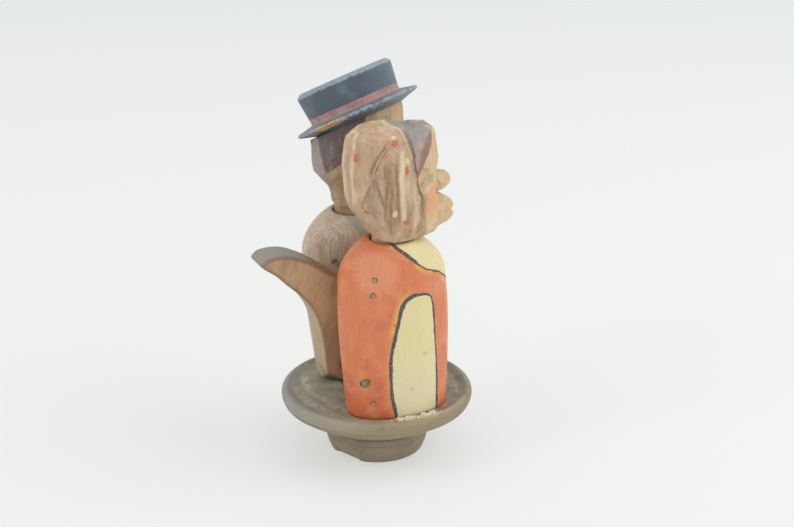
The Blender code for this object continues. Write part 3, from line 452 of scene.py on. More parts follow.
class Shaping(Tree):
    """A Geometry Nodes tree with named inputs, which turns a source mesh into a plain mesh."""

    SOCKETS = (
        (int, "NodeSocketInt"), (float, "NodeSocketFloat"), (bpy.types.Object, "NodeSocketObject"),
        (bpy.types.Material, "NodeSocketMaterial"),
    )

    def __init__(self, name, **values):
        self.tree = bpy.data.node_groups.new(name, "GeometryNodeTree")
        face = self.tree.interface
        face.new_socket("Geometry", in_out="OUTPUT", socket_type="NodeSocketGeometry")
        face.new_socket("Geometry", in_out="INPUT", socket_type="NodeSocketGeometry")
        self.values = {}
        for key, value in values.items():
            kind = next(socket for of, socket in self.SOCKETS if isinstance(value, of))
            made = face.new_socket(key.replace("_", " ").title(), in_out="INPUT", socket_type=kind)
            self.values[made.identifier] = value
        self.inputs = self.tree.nodes.new("NodeGroupInput")

    def given(self, key):
        """One of the tree's named inputs."""
        return Wire(self.tree, self.inputs.outputs[key])

    def moved(self, geometry, place=None, offset=None):
        """Moves the points of a geometry to places or by offsets."""
        inputs = {"Geometry": geometry}
        inputs.update({"Position": place} if place else {"Offset": offset})
        return self.node("GeometryNodeSetPosition", None, inputs)

    def chance(self, low, high, seed):
        """A random vector for each point."""
        return self.node(
            "FunctionNodeRandomValue", {"data_type": "FLOAT_VECTOR"},
            {"Min": low, "Max": high, "Seed": self.given("Seed") + seed})

    def made(self, geometry, source):
        """Ends the tree, runs it on the source mesh and gives the mesh that comes out."""
        real = self.node("GeometryNodeRealizeInstances", None, {"Geometry": geometry})
        real = self.node(
            "GeometryNodeSetMaterial", None, {"Geometry": real, "Material": self.given("Material")})
        end = self.tree.nodes.new("NodeGroupOutput")
        self.tree.links.new(real.socket, end.inputs[0])
        carrier = bpy.data.objects.new(self.tree.name, source)
        bpy.context.scene.collection.objects.link(carrier)
        modifier = carrier.modifiers.new("Shape", "NODES")
        modifier.node_group = self.tree
        for identifier, value in self.values.items():
            modifier[identifier] = value
        mesh = bpy.data.meshes.new_from_object(
            carrier.evaluated_get(bpy.context.evaluated_depsgraph_get()))
        bpy.data.objects.remove(carrier)
        bpy.data.meshes.remove(source)
        return mesh


def wire_mesh(name, places, scale=1.0):
    """A mesh of places joined one to the next by edges."""
    mesh = bpy.data.meshes.new(name)
    joins = [(k, k + 1) for k in range(len(places) - 1)]
    mesh.from_pydata([Vector(p) * scale for p in places], joins, [])
    return mesh


def turned(name, profile, finish, marks, spacing, seed):
    """A closed turned solid in millimetres, with the lathe's marks, swept from its profile."""
    g = Shaping(
        name, sides=420, rows=640, mark_depth=marks, mark_spacing=spacing, seed=seed, material=finish)
    curve = g.node("GeometryNodeMeshToCurve", None, {"Mesh": g.given("Geometry")})
    grid = g.node("GeometryNodeMeshGrid", None, {
        "Size X": 1.0, "Size Y": 1.0, "Vertices X": g.given("Sides"), "Vertices Y": g.given("Rows")})
    across, along, _ = g.parts(g.node("GeometryNodeInputPosition"))
    place = g.node(
        "GeometryNodeSampleCurve", {"mode": "FACTOR"}, {"Curves": curve, "Factor": along + 0.5},
        output="Position")
    reach, _, height = g.parts(place)
    run, _, rise = g.parts(place.also("Tangent"))
    length = g.node("GeometryNodeCurveLength", None, {"Curve": curve})
    noise = g.node(
        "ShaderNodeTexNoise", {"noise_dimensions": "1D"},
        {"W": along * length / g.given("Mark Spacing") + g.given("Seed"), "Scale": 1.0, "Detail": 3.0})
    mark = (noise - 0.5) * 2.0 * g.given("Mark Depth")
    reach = reach + rise * mark
    turn = across * math.tau
    place = g.joined(reach * turn.math("COSINE"), reach * turn.math("SINE"), height - run * mark)
    solid = g.moved(grid, place=place)
    solid = g.node("GeometryNodeMergeByDistance", None, {"Geometry": solid, "Distance": 0.001})
    return g.made(solid, wire_mesh(name, [(r, 0.0, z) for r, z in profile]))


def dabbed(name, places, surface, finish, thickness, seed):
    """Ragged dabs of paint laid on a surface: places with half widths and half heights in millimetres."""
    source = wire_mesh(name, [place for place, _, _ in places], MM)
    size = source.attributes.new("size", "FLOAT_VECTOR", "POINT")
    sizes = [(wide, high, min(wide, high)) for _, wide, high in places]
    size.data.foreach_set("vector", [v * MM for three in sizes for v in three])
    g = Shaping(
        name, surface=surface, thickness=thickness, ragged=0.0005, detail=5, seed=seed, material=finish)
    under = g.node("GeometryNodeObjectInfo", None, {"Object": g.given("Surface")}, output="Geometry")
    here = g.node("GeometryNodeInputPosition")
    facing = g.node(
        "GeometryNodeSampleNearestSurface", {"data_type": "FLOAT_VECTOR"},
        {"Mesh": under, "Value": g.node("GeometryNodeInputNormal"), "Sample Position": here})
    ball = g.node("GeometryNodeMeshIcoSphere", None, {"Radius": 1.0, "Subdivisions": g.given("Detail")})
    ball = g.node(
        "GeometryNodeStoreNamedAttribute", {"data_type": "FLOAT", "domain": "POINT"},
        {"Geometry": ball, "Name": "rise", "Value": g.parts(here)[2]})
    turn = g.node("FunctionNodeAlignRotationToVector", {"axis": "Z"}, {"Vector": facing})
    turn = g.node(
        "FunctionNodeAlignRotationToVector", {"axis": "Y", "pivot_axis": "Z"},
        {"Rotation": turn, "Vector": (0.0, 0.0, 1.0)})
    scale = g.node("GeometryNodeInputNamedAttribute", {"data_type": "FLOAT_VECTOR"}, {"Name": "size"})
    laid = g.node("GeometryNodeInstanceOnPoints", None, {
        "Points": g.given("Geometry"), "Instance": ball, "Rotation": turn, "Scale": scale})
    laid = g.node("GeometryNodeRealizeInstances", None, {"Geometry": laid})
    shifted = g.vector("ADD", here, g.joined(g.given("Seed"), 0.0, 0.0))
    noise = g.node(
        "ShaderNodeTexNoise", {"noise_dimensions": "3D"},
        {"Vector": shifted, "Scale": 1800.0, "Detail": 2.0}, output="Color")
    stray = g.vector("SUBTRACT", noise, (0.5, 0.5, 0.5))
    laid = g.moved(laid, offset=g.scaled(stray, g.given("Ragged") * 2.0))
    rise = g.node("GeometryNodeInputNamedAttribute", {"data_type": "FLOAT"}, {"Name": "rise"})
    nearest = g.node(
        "GeometryNodeProximity", {"target_element": "FACES"}, {"Target": under, "Source Position": here})
    lift = g.scaled(facing, rise * g.given("Thickness"))
    laid = g.moved(laid, place=g.vector("ADD", nearest, lift))
    return g.made(laid, source)


def crumbled(name, places, finish, lump, stray, seed):
    """Lumps of old glue scattered along a path in millimetres."""
    g = Shaping(name, lump=lump * MM, spacing=lump * 0.55 * MM, stray=stray * MM, detail=4, seed=seed,
                material=finish)
    curve = g.node("GeometryNodeMeshToCurve", None, {"Mesh": g.given("Geometry")})
    curve = g.node(
        "GeometryNodeResampleCurve", {"mode": "LENGTH"}, {"Curve": curve, "Length": g.given("Spacing")})
    scatter = g.chance((-1.0, -1.0, -0.3), (1.0, 1.0, 0.3), 1)
    curve = g.moved(curve, offset=g.scaled(scatter, g.given("Stray")))
    ball = g.node("GeometryNodeMeshIcoSphere", None, {
        "Radius": g.given("Lump"), "Subdivisions": g.given("Detail")})
    laid = g.node("GeometryNodeInstanceOnPoints", None, {
        "Points": curve, "Instance": ball, "Scale": g.chance((0.3, 0.3, 0.25), (1.0, 1.0, 0.7), 2)})
    laid = g.node("GeometryNodeRealizeInstances", None, {"Geometry": laid})
    noise = g.node(
        "ShaderNodeTexNoise", {"noise_dimensions": "3D"},
        {"Vector": g.node("GeometryNodeInputPosition"), "Scale": 1500.0, "Detail": 3.0})
    push = (noise - 0.5) * g.given("Lump")
    laid = g.moved(laid, offset=g.scaled(g.node("GeometryNodeInputNormal"), push))
    return g.made(laid, wire_mesh(name, places, MM))


class Finish(Tree):
    """One procedural material, read in millimetres on Object coordinates."""

    def __init__(self, name):
        self.material = bpy.data.materials.new(name)
        self.material.use_nodes = True
        self.tree = self.material.node_tree
        self.shader = self.tree.nodes["Principled BSDF"]
        self.here = self.scaled(self.node("ShaderNodeTexCoord", output="Object"), 1 / MM)
        self.x, self.y, self.z = self.parts(self.here)
        self.colour = None

    def noise(self, size, detail=3.0, stretch=(1, 1, 1), place=None, seed=0.0):
        """Soft noise whose features measure about size millimetres, divided by stretch on each axis."""
        scaled = self.vector(
            "MULTIPLY_ADD", place or self.here, tuple(s / size for s in stretch), (seed, seed * 0.7, -seed))
        return self.node(
            "ShaderNodeTexNoise", {"noise_dimensions": "3D"},
            {"Vector": scaled, "Scale": 1.0, "Detail": detail})

    def patches(self, low, high, size, detail=3.0, stretch=(1, 1, 1), seed=0.0):
        """Ragged patches: noise that is cut off softly between two levels."""
        return self.step(self.noise(size, detail, stretch, seed=seed), low, high)

    def cells(self, size, seed=0.0):
        """Distance to the nearest of scattered points that lie about size millimetres apart."""
        scaled = self.vector("MULTIPLY_ADD", self.here, (1 / size,) * 3, (seed, -seed, seed * 0.5))
        return self.node("ShaderNodeTexVoronoi", None, {"Vector": scaled, "Scale": 1.0}, output="Distance")

    def mask(self, name):
        """A number that is stored on the mesh."""
        return self.node(
            "ShaderNodeAttribute", {"attribute_name": name, "attribute_type": "GEOMETRY"}, output="Fac")

    def step(self, value, low, high):
        """0 below low, 1 above high and smooth between. High may be the lower of the two."""
        return self.node(
            "ShaderNodeMapRange", {"interpolation_type": "SMOOTHSTEP"},
            {"Value": value, "From Min": low, "From Max": high, "To Min": 0.0, "To Max": 1.0})

    def mix(self, under, over, share, blend="MIX"):
        """Lays one colour over another by a share."""
        return self.node(
            "ShaderNodeMix", {"data_type": "RGBA", "blend_type": blend, "clamp_factor": True},
            {"A_Color": under, "B_Color": over, "Factor_Float": share}, output=2)

    def lay(self, over, share):
        """Lays a colour over the finish's own colour by a share."""
        self.colour = self.mix(self.colour, over, share)

    def shade(self, colour, amount):
        """Brightens or darkens a colour by a varying amount round 1."""
        grey = self.node("ShaderNodeCombineColor", {"mode": "RGB"}, {0: amount, 1: amount, 2: amount})
        return self.mix(colour, grey, 1.0, "MULTIPLY")

    def dab(self, colour, over, place, radius, share, stretch=(1, 1, 1)):
        """A soft, ragged dab of another colour round a place, with each axis stretched."""
        shifted = self.vector("MULTIPLY", self.vector("SUBTRACT", self.here, place), stretch)
        far = self.vector("LENGTH", shifted, output="Value")
        far = far + (self.noise(0.7, 3.0, seed=6.0) - 0.5) * radius * 0.9
        return self.mix(colour, over, self.step(far, radius * 1.1, radius * 0.7) * share)

    def finish(self, colour, roughness, height=None, bump=0.2, sheen=0.3, metallic=0.0):
        """Feeds the shader and gives the finished material. Height is in millimetres."""
        plug(self.tree, self.shader.inputs["Base Color"], colour)
        plug(self.tree, self.shader.inputs["Roughness"], roughness)
        plug(self.tree, self.shader.inputs["Metallic"], metallic)
        self.shader.inputs["Specular IOR Level"].default_value = sheen
        if height is not None:
            normal = self.node(
                "ShaderNodeBump", None, {"Strength": bump, "Distance": MM, "Height": height})
            plug(self.tree, self.shader.inputs["Normal"], normal)
        return self.material


class Carving:
    """A wooden piece as points and four-sided faces in millimetres, for knife work in code."""

    def __init__(self, source, cell):
        fine = remeshed(source, cell / MM)
        self.points = rows_of(fine.vertices, "co", 3, float)
        self.faces = rows_of(fine.polygons, "vertices", 4, np.int32)
        self.edges = rows_of(fine.edges, "vertices", 2, np.int32)
        self.degree = np.maximum(np.bincount(self.edges.ravel(), minlength=len(self.points)), 1)[:, None]
        self.masks = {}
        bpy.data.meshes.remove(fine)

    @property
    def flat(self):
        """The points' places fore and aft and up."""
        return self.points[:, (0, 2)]

    def normals(self):
        """Outward unit normals of the points."""
        corner = self.points[self.faces]
        cross = np.cross(corner[:, 2] - corner[:, 0], corner[:, 3] - corner[:, 1])
        total = np.stack([
            np.bincount(self.faces.ravel(), np.repeat(cross[:, k], 4), len(self.points))
            for k in range(3)], 1)
        return total / np.maximum(np.linalg.norm(total, axis=1, keepdims=True), 1e-12)

    def averaged(self, values):
        """Each point's value averaged over its neighbours."""
        a, b = self.edges.T
        total = np.stack([
            np.bincount(a, values[b, k], len(values)) + np.bincount(b, values[a, k], len(values))
            for k in range(values.shape[1])], 1)
        return total / self.degree

    def soft_normals(self, times):
        """Normals averaged a number of times."""
        normals = self.normals()
        for _ in range(times):
            normals = self.averaged(normals)
        return normals

    def smoothed(self, times):
        """The points after a number of rounds of smoothing."""
        points = self.points
        for _ in range(times):
            points = points + 0.5 * (self.averaged(points) - points)
        return points

    def relax(self, times, where=None):
        """Smooths the shape, everywhere or by a weight."""
        smooth = self.smoothed(times)
        weight = 1.0 if where is None else where[:, None]
        self.points = self.points + weight * (smooth - self.points)

    def hollows(self, times):
        """How far each point lies below the smooth shape, in millimetres: more than 0 in a cut."""
        return ((self.smoothed(times) - self.points) * self.normals()).sum(1)

    def snapped(self, path, spacing=0.25):
        """Points along a path, spaced evenly and moved onto the surface."""
        path = np.array(path, float)
        laid = []
        for start, end in zip(path[:-1], path[1:]):
            steps = max(2, int(np.linalg.norm(end - start) / spacing))
            laid.extend(start + (end - start) * k / steps for k in range(steps))
        laid.append(path[-1])
        near = [((self.points - p) ** 2).sum(1).argmin() for p in laid]
        return self.points[near]

    def beside(self, path):
        """Each point's distance to a path on the surface, and a weight that falls off at its ends."""
        laid = self.snapped(path)
        nearest = np.full(len(self.points), 1e9)
        taper = np.zeros(len(self.points))
        for k, point in enumerate(laid):
            distance = ((self.points - point) ** 2).sum(1)
            closer = distance < nearest
            nearest[closer] = distance[closer]
            taper[closer] = min(1.0, 0.25 + 5.0 * min(k, len(laid) - 1 - k) / len(laid))
        return np.sqrt(nearest), taper

    def gouge(self, path, width, depth, dirt=0.0):
        """Cuts a V along a path on the surface, tapered at both ends, and lets dirt into it."""
        distance, taper = self.beside(path)
        wedge = np.clip(1 - distance / width, 0, 1) * taper
        self.points = self.points - self.normals() * (depth * wedge)[:, None]
        self.tint("dirt", dirt * taper * fade(-distance, -0.9 * width, -0.2 * width))

    def stroke(self, mask, path, width, strength):
        """Strokes a mask along a path on the surface."""
        distance, taper = self.beside(path)
        self.tint(mask, strength * np.sqrt(taper) * fade(-distance, -width, -0.35 * width))

    def tint(self, mask, values):
        """Adds values to a mask where they are stronger."""
        self.masks[mask] = np.maximum(self.masks.get(mask, 0.0), values)

    def outline(self, mask, corners, rounds=2):
        """Fills a mask with the distance to a painted outline, seen from the side: more than 0 inside."""
        self.masks[mask] = inside(self.flat, rounded(corners, rounds))

    def slice(self, centre, normal, reach):
        """Cuts flat whatever stands above a plane, within reach of its centre."""
        normal = np.array(normal, float)
        normal = normal / np.linalg.norm(normal)
        offset = self.points - np.array(centre, float)
        above = np.clip(offset @ normal, 0, None)
        distance = np.linalg.norm(offset, axis=1)
        weight = np.clip((reach - distance) / (0.3 * reach), 0, 1)
        self.points = self.points - normal * (above * weight)[:, None]

    def whittle(self, seed, count, depth, reach, allowed, tilt=0.05):
        """Takes many flat knife cuts at random places of the allowed area."""
        dice = np.random.default_rng(seed)
        smooth_normals = self.soft_normals(3)
        choices = np.flatnonzero(allowed)
        for index in dice.choice(choices, count, replace=False):
            normal = smooth_normals[index] + tilt * dice.normal(size=3)
            cut = depth * dice.uniform(0.4, 1.3)
            self.slice(self.points[index] - smooth_normals[index] * cut, normal, reach)

    def chip(self, seed, place, reach, depth):
        """Breaks a small piece out of an edge: the deepest at the place, with a rough bottom."""
        dice = np.random.default_rng(seed)
        distance = np.linalg.norm(self.points - np.array(place), axis=1)
        weight = fade(-distance, -reach, -0.35 * reach)
        inward = self.soft_normals(14) + 0.25 * dice.normal(size=3)
        self.points = self.points - inward * (weight * depth)[:, None]
        self.tint("chip", weight)

    def place(self, matrix):
        """Moves the whole piece by a matrix in millimetres."""
        turn = np.array(matrix.to_3x3())
        self.points = self.points @ turn.T + np.array(matrix.translation)

    def piece(self, name, body, node, slot, finish):
        """Makes the object that stands for the CAD node."""
        mesh = bpy.data.meshes.new(name)
        mesh.from_pydata((self.points * MM).tolist(), [], self.faces.tolist())
        mesh.polygons.foreach_set("use_smooth", np.ones(len(mesh.polygons), bool))
        for key, values in self.masks.items():
            layer = mesh.attributes.new(key, "FLOAT", "POINT")
            layer.data.foreach_set("value", values.astype(np.float32))
        mesh.update()
        mesh.materials.append(finish)
        made = shown(name, mesh, body)
        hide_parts(node)
        return made


def rows_of(elements, key, width, kind):
    """One value of a mesh's elements, as an array with a row for each element."""
    values = np.empty(len(elements) * width, kind)
    elements.foreach_get(key, values)
    return values.reshape(-1, width)


def shown(name, mesh, body):
    """An object that rides a body."""
    made = bpy.data.objects.new(name, mesh)
    bpy.context.scene.collection.objects.link(made)
    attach(made, body)
    return made


def merged(node):
    """A copy of a CAD node in millimetres, with its loose corners joined."""
    work = bmesh.new()
    work.from_mesh(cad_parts[node].data)
    bmesh.ops.remove_doubles(work, verts=work.verts, dist=WELD)
    bmesh.ops.scale(work, vec=(1 / MM,) * 3, verts=work.verts)
    mesh = bpy.data.meshes.new("rough")
    work.to_mesh(mesh)
    work.free()
    return mesh


def remeshed(source, cell):
    """A closed mesh in millimetres as an even mesh of four-sided cells. The source is used up."""
    rough = bpy.data.objects.new("rough", source)
    bpy.context.scene.collection.objects.link(rough)
    cells = rough.modifiers.new("Cells", "REMESH")
    cells.mode = "VOXEL"
    cells.voxel_size = cell
    fine = bpy.data.meshes.new_from_object(rough.evaluated_get(bpy.context.evaluated_depsgraph_get()))
    bpy.data.objects.remove(rough)
    bpy.data.meshes.remove(source)
    return fine


def inside(places, outline):
    """Signed distance of flat places to a closed outline: more than 0 inside it."""
    corners = np.array(outline, float)
    following = np.roll(corners, -1, 0)
    nearest = np.full(len(places), 1e9)
    within = np.zeros(len(places), bool)
    for a, b in zip(corners, following):
        side = b - a
        share = np.clip(((places - a) @ side) / (side @ side), 0, 1)
        nearest = np.minimum(nearest, ((places - a - share[:, None] * side) ** 2).sum(1))
        crosses = (a[1] > places[:, 1]) != (b[1] > places[:, 1])
        height = np.where(crosses, b[1] - a[1], 1.0)
        within ^= crosses & (places[:, 0] < (b[0] - a[0]) * (places[:, 1] - a[1]) / height + a[0])
    return np.sqrt(nearest) * np.where(within, 1, -1)


def rounded(outline, times):
    """An outline with its corners cut, so that it runs as a brush would."""
    points = [Vector(p) for p in outline]
    for _ in range(times):
        cut = []
        for a, b in zip(points, points[1:] + points[:1]):
            cut.extend((a.lerp(b, 0.25), a.lerp(b, 0.75)))
        points = cut
    return [tuple(p) for p in points]


def fade(values, low, high):
    """Smooth 0 to 1 between low and high."""
    share = np.clip((values - low) / (high - low), 0, 1)
    return share * share * (3 - 2 * share)


def hat_matrix():
    """From the upright hat, with zero at its brim's edge, to its place on the man's head."""
    back = math.tan(HAT_LEAN_BACK)
    out = math.tan(HAT_LEAN_OUT)
    up = Vector((-back, out * math.hypot(1.0, back), 1.0)).normalized()
    return Matrix.Translation(HAT_CENTRE) @ up.to_track_quat("Z", "Y").to_matrix().to_4x4()


def far_side(places):
    """The same places on the woman's far side."""
    return [(x, 2 * WOMAN_Y - y, z) for x, y, z in places]


def dress_ground(f, look, clouds, streaks):
    """Lays the dress's orange, with painted light in front and a painted highlight at the shoulder, and
    worn darker low down.
    """
    f.colour = f.mix(look.dress, look.dress_shade, f.step(clouds, 0.48, 0.8) * 0.5)
    # Painted light: paler orange in patches on the front of the dress.
    sunny = f.patches(0.4, 0.7, 9.0, seed=8.0) * f.step(f.x, 2.0, 9.0)
    f.lay(look.dress_painted_light, sunny * 0.7)
    low = f.step(f.z, 30.0, 15.5) * f.patches(0.3, 0.65, 4.0, seed=3.0)
    f.lay(look.dress_shade, low * 0.6)
    deep = f.step(f.z, 38.0, 22.0) * f.step(f.x, 0.0, -5.0) * f.patches(0.38, 0.6, 3.0, 4.0, seed=6.0)
    f.lay(look.dress_deep, deep * 0.7)
    f.lay(look.ochre, f.patches(0.5, 0.75, 3.2, 4.0, (1, 1, 0.5), seed=12.0) * 0.28)
    f.lay(look.dress_smudge, f.patches(0.56, 0.7, 2.2, 4.0, seed=13.0) * 0.3)
    # Painted highlight: a pale dab on the shoulder.
    highlight_share = 0.35 + f.noise(0.8, 4.0, (1, 1, 0.4), seed=14.0) * 0.9 * 0.3
    shoulder = (-7.0, WOMAN_Y - 6.0, 50.5)
    f.colour = f.dab(f.colour, look.dress_painted_light, shoulder, 4.2, highlight_share, (0.8, 0.6, 0.8))
    f.lay(look.dress_shade, f.patches(0.56, 0.7, 0.32, stretch=(1, 1, 0.05), seed=4.0) * 0.3)
    f.colour = f.shade(f.colour, 0.94 + streaks * 0.12)


def dress_haloes(f, look, sleeve, blouse):
    """Lays the ochre that shows beside the outlines."""
    near = f.step(sleeve, -2.1, -0.6) * f.patches(0.34, 0.5, 1.5, 4.0, seed=5.0) * f.step(f.x, 1.0, -1.0)
    f.lay(look.ochre, near * (0.35 + 0.65 * f.step(f.z, 33.0, 37.0)) * 0.85)
    under = f.step(blouse, -1.7, -0.5) * f.patches(0.4, 0.6, 2.2, seed=9.0)
    f.lay(look.ochre, under * 0.75)


def cream_paint(f, look, wood):
    """The cream of the sleeves and the blouse, greyer low down and with a few marks."""
    cream = f.shade(look.blouse, 0.9 + f.noise(0.6, 4.0, (1, 1, 0.15)) * 0.2)
    cream = f.mix(cream, wood.glue, f.step(f.z, 34.0, 18.0) * 0.45)
    marks = f.step(f.cells(1.1, 4.0), 0.14, 0.06) * f.patches(0.5, 0.6, 2.0, seed=2.0)
    cream = f.mix(cream, look.dress_shade, marks * 0.5)
    for x, z in ((1.0, 21.9), (4.3, 30.1)):
        cream = f.dab(cream, look.scarf_ochre, (x, WOMAN_Y, z), 0.6, 0.5, (1, 0, 1))
    return cream


def dress_outline(f, sleeve, blouse):
    """The dark line round the sleeves and the blouse, broadest at the sleeve's top."""
    width = 0.27 + 0.14 * f.step(f.x, 4.0, 0.5) + 0.16 * f.step(f.z, 40.0, 43.0) * f.step(f.x, 4.0, 1.0)
    width = width + (f.noise(2.6, 2.0, seed=7.0) - 0.5) * 0.42
    round_blouse = f.step(abs(blouse) - width * 0.72, 0.05, -0.05)
    return f.step(abs(sleeve) - width, 0.06, -0.06).math("MAXIMUM", round_blouse)


def worn_nail_hole(f, look, wood):
    """Wears the dress's paint away round the lever's nail: darker paint beside it, bare wood, and painted
    shade at the hole's upper edge.
    """
    x, z = PIVOT_PLACE
    for over, dx, dz, radius, share in (
            (look.dress_shade, 2.6, -0.6, 1.1, 0.5), (wood.dish_worn, 0.0, 0.0, 1.35, 0.8),
            # The last dab, in the outline colour, is painted shade at the hole's upper edge.
            (look.outline, 0.2, 0.7, 0.75, 0.85)):
        f.colour = f.dab(f.colour, over, (x + dx, WOMAN_Y - 6.0, z + dz), radius, share, (1, 0, 1))


def dress_finish(look, wood):
    """Orange dress with cream sleeves and blouse, dark outlines, ochre haloes and worn paint."""
    f = Finish("dress_paint")
    wobble = (f.noise(1.6, 2.0) - 0.5) * 0.5 + (f.noise(0.35, 2.0) - 0.5) * 0.16
    sleeve = f.mask("sleeve") + wobble
    blouse = f.mask("blouse") + wobble
    streaks = f.noise(0.5, 3.0, (1, 1, 0.07))
    clouds = f.noise(6.0, 4.0)
    dress_ground(f, look, clouds, streaks)
    dress_haloes(f, look, sleeve, blouse)
    f.lay(look.outline, f.step(f.cells(1.5), 0.12, 0.05) * f.patches(0.5, 0.6, 3.0) * 0.5)
    painted_cream = f.step(sleeve, -0.05, 0.08).math("MAXIMUM", f.step(blouse, -0.05, 0.08))
    f.lay(cream_paint(f, look, wood), painted_cream)
    ink = dress_outline(f, sleeve, blouse)
    f.lay(look.outline, ink * (0.84 + 0.16 * f.patches(0.35, 0.55, 0.5)))
    # Painted shade in the body's hollows.
    f.lay(look.outline, f.step(f.mask("hollow"), 0.02, 0.10) * 0.45)
    worn_nail_hole(f, look, wood)
    height = streaks * 0.03 + ink * 0.04 + f.noise(0.4, 3.0) * 0.03
    return f.finish(f.colour, 0.36 + clouds * 0.12, height, 0.3, 0.5)


def coat_finish(look, wood):
    """Brown stained coat with fine upright grain and a blue-grey shirt."""
    f = Finish("coat_stain")
    shirt = f.mask("shirt") + (f.noise(1.6, 2.0) - 0.5) * 0.6
    lines = f.noise(0.34, 3.0, (1, 1, 0.03))
    broad = f.noise(2.2, 3.0, (1, 1, 0.08))
    f.colour = f.mix(look.coat, look.coat_dark, f.step(lines, 0.44, 0.6) * 0.6)
    f.lay(look.coat_dark, f.step(broad, 0.5, 0.75) * 0.4)
    f.lay(look.coat_dark, f.step(f.z, 46.0, 30.0) * 0.2)
    f.lay(wood.dish_dust, f.patches(0.5, 0.75, 7.0, 3.0) * 0.3)
    cloth = f.shade(look.shirt, 0.92 + f.noise(0.8, 3.0) * 0.16)
    f.lay(cloth, f.step(shirt, -0.2, 0.5) * 0.85)
    # Painted shade in the body's hollows.
    f.lay(look.coat_dark, f.step(f.mask("hollow"), 0.02, 0.10) * 0.8)
    # Painted shadow: a dark dab low on the coat's inner side, under the lever's heel.
    f.colour = f.dab(f.colour, f.shade(wood.dish_dark, 0.5), (-6.8, 6.8, 15.2), 2.3, 0.9, (0.55, 0.6, 1.2))
    return f.finish(f.colour, 0.38 + broad * 0.12, lines * 0.05 + f.noise(0.5) * 0.03, 0.3, 0.5)


def carved_wood(f, base, pale, dark, grain=(1, 1, 0.12)):
    """Bare carved wood: grain, rubbed ridges and dirt in the cuts."""
    fibre = f.noise(0.45, 4.0, grain)
    broad = f.noise(1.7, 4.0, (grain[0], grain[1], 0.25))
    hollow = f.mask("hollow")
    colour = f.mix(base, dark, f.step(fibre, 0.5, 0.76) * 0.35)
    colour = f.mix(colour, pale, f.step(broad, 0.44, 0.72) * 0.45)
    colour = f.mix(colour, dark, f.step(broad, 0.46, 0.3) * 0.3)
    colour = f.mix(colour, dark, f.step(hollow, 0.03, 0.20) * 0.6)
    colour = f.mix(colour, pale, f.step(hollow, -0.03, -0.12) * 0.6)
    return colour, fibre


def scarf_wood(f, look, patch):
    """The scarf's bare wood with its fields of colour, and the wood's grain."""
    scarf, fibre = carved_wood(f, look.scarf, look.scarf_pale, look.scarf_dark)
    for name in ("brown", "grey", "ochre", "pink"):
        scarf = f.mix(scarf, getattr(look, f"scarf_{name}"), f.mask(name) * patch)
    lines = f.patches(0.5, 0.6, 0.55, 4.0, (1, 1, 0.05), seed=3.0)
    return f.mix(scarf, look.scarf_dark, f.mask("brown") * lines * 0.5), fibre


def woman_face(f, look, fibre):
    """The woman's pale face with blush, eye and lips, and painted shade low down beside the scarf."""
    across = abs(f.y - WOMAN_Y)
    face, _ = carved_wood(f, look.skin, look.scarf_pale, look.scarf_dark, (1, 1, 0.3))
    for over, centre, size, stretch, share in (
            (look.blush, (7.2, 4.6, 66.0), 3.3, (0.9, 0.8, 0.62), 0.8),
            (look.eye, (6.4, 5.2, 71.2), 1.1, (0.9, 0.7, 0.7), 0.7),
            (look.scarf_ochre, (5.7, 6.0, 69.7), 0.5, (1, 1, 1), 0.7),
            (look.lips, (12.2, 1.4, 69.6), 1.6, (1, 1, 1), 0.6)):
        face = f.mix(face, over, spot(f, centre, across, size, stretch) * share)
    # Painted shade on the face, low down beside the scarf, in the scarf's brown.
    low = f.step(f.x, 5.6, 4.2) * f.step(f.z, 70.0, 66.0)
    face = f.mix(face, look.scarf_brown, low * (0.4 + 0.4 * f.step(fibre, 0.35, 0.6)))
    return f.mix(face, look.lips, mouth(f, 11.0) * 0.7)


def woman_head_finish(look):
    """Carved scarf, brown hair with a dark lock, and a pale face with blush, eye and lips."""
    f = Finish("woman_head_paint")
    edge = (f.noise(0.9, 3.0) - 0.5) * 0.45
    patch = 0.65 + 0.35 * f.patches(0.35, 0.6, 0.7, 4.0, (1, 1, 0.3), seed=1.0)
    scarf, fibre = scarf_wood(f, look, patch)
    hair = f.mix(look.hair, look.hair_worn, f.step(f.z, 81.6, 79.0) * f.step(f.x, 0.9, 2.2) * 0.8)
    hair = f.mix(hair, look.scarf_pale, f.patches(0.5, 0.75, 0.9, 3.0, (1, 1, 0.35)) * 0.3)
    face = woman_face(f, look, fibre)
    front = f.step(f.mask("front") + edge * 0.5, -0.1, 0.15)
    f.colour = f.mix(scarf, face, front)
    f.lay(hair, f.step(f.mask("hair") + edge, -0.1, 0.2) * front)
    f.lay(look.lock, f.step(f.mask("lock") + edge, -0.3, 0.35) * 0.8 * front)
    f.lay(look.scarf_pale, f.mask("pale") * patch)
    f.lay(look.scarf_dark, f.mask("dirt") * patch * 0.6)
    # Painted shade in the crease along the scarf's front edge.
    crevice_shade = f.step(abs(f.mask("front") + edge * 0.3 - 0.1), 0.5, 0.15)
    crevice_shade = crevice_shade * f.step(f.z, 65.0, 69.0) * f.step(f.z, 79.5, 77.0)
    f.lay(f.shade(look.scarf_dark, 0.6), crevice_shade * 0.75)
    return f.finish(f.colour, 0.52 + fibre * 0.14, fibre * 0.08 + f.noise(0.3) * 0.03, 0.4, 0.4)


def spot(f, centre, across, size, stretch):
    """A soft round dab on both sides of a head, at the same distance from its middle."""
    dx = (f.x - centre[0]) * stretch[0]
    dy = (across - centre[1]) * stretch[1]
    dz = (f.z - centre[2]) * stretch[2]
    distance = (dx * dx + dy * dy + dz * dz) ** 0.5
    return f.step(distance + (f.noise(0.8, 3.0, seed=6.0) - 0.5) * size * 0.9, size, size * 0.45)


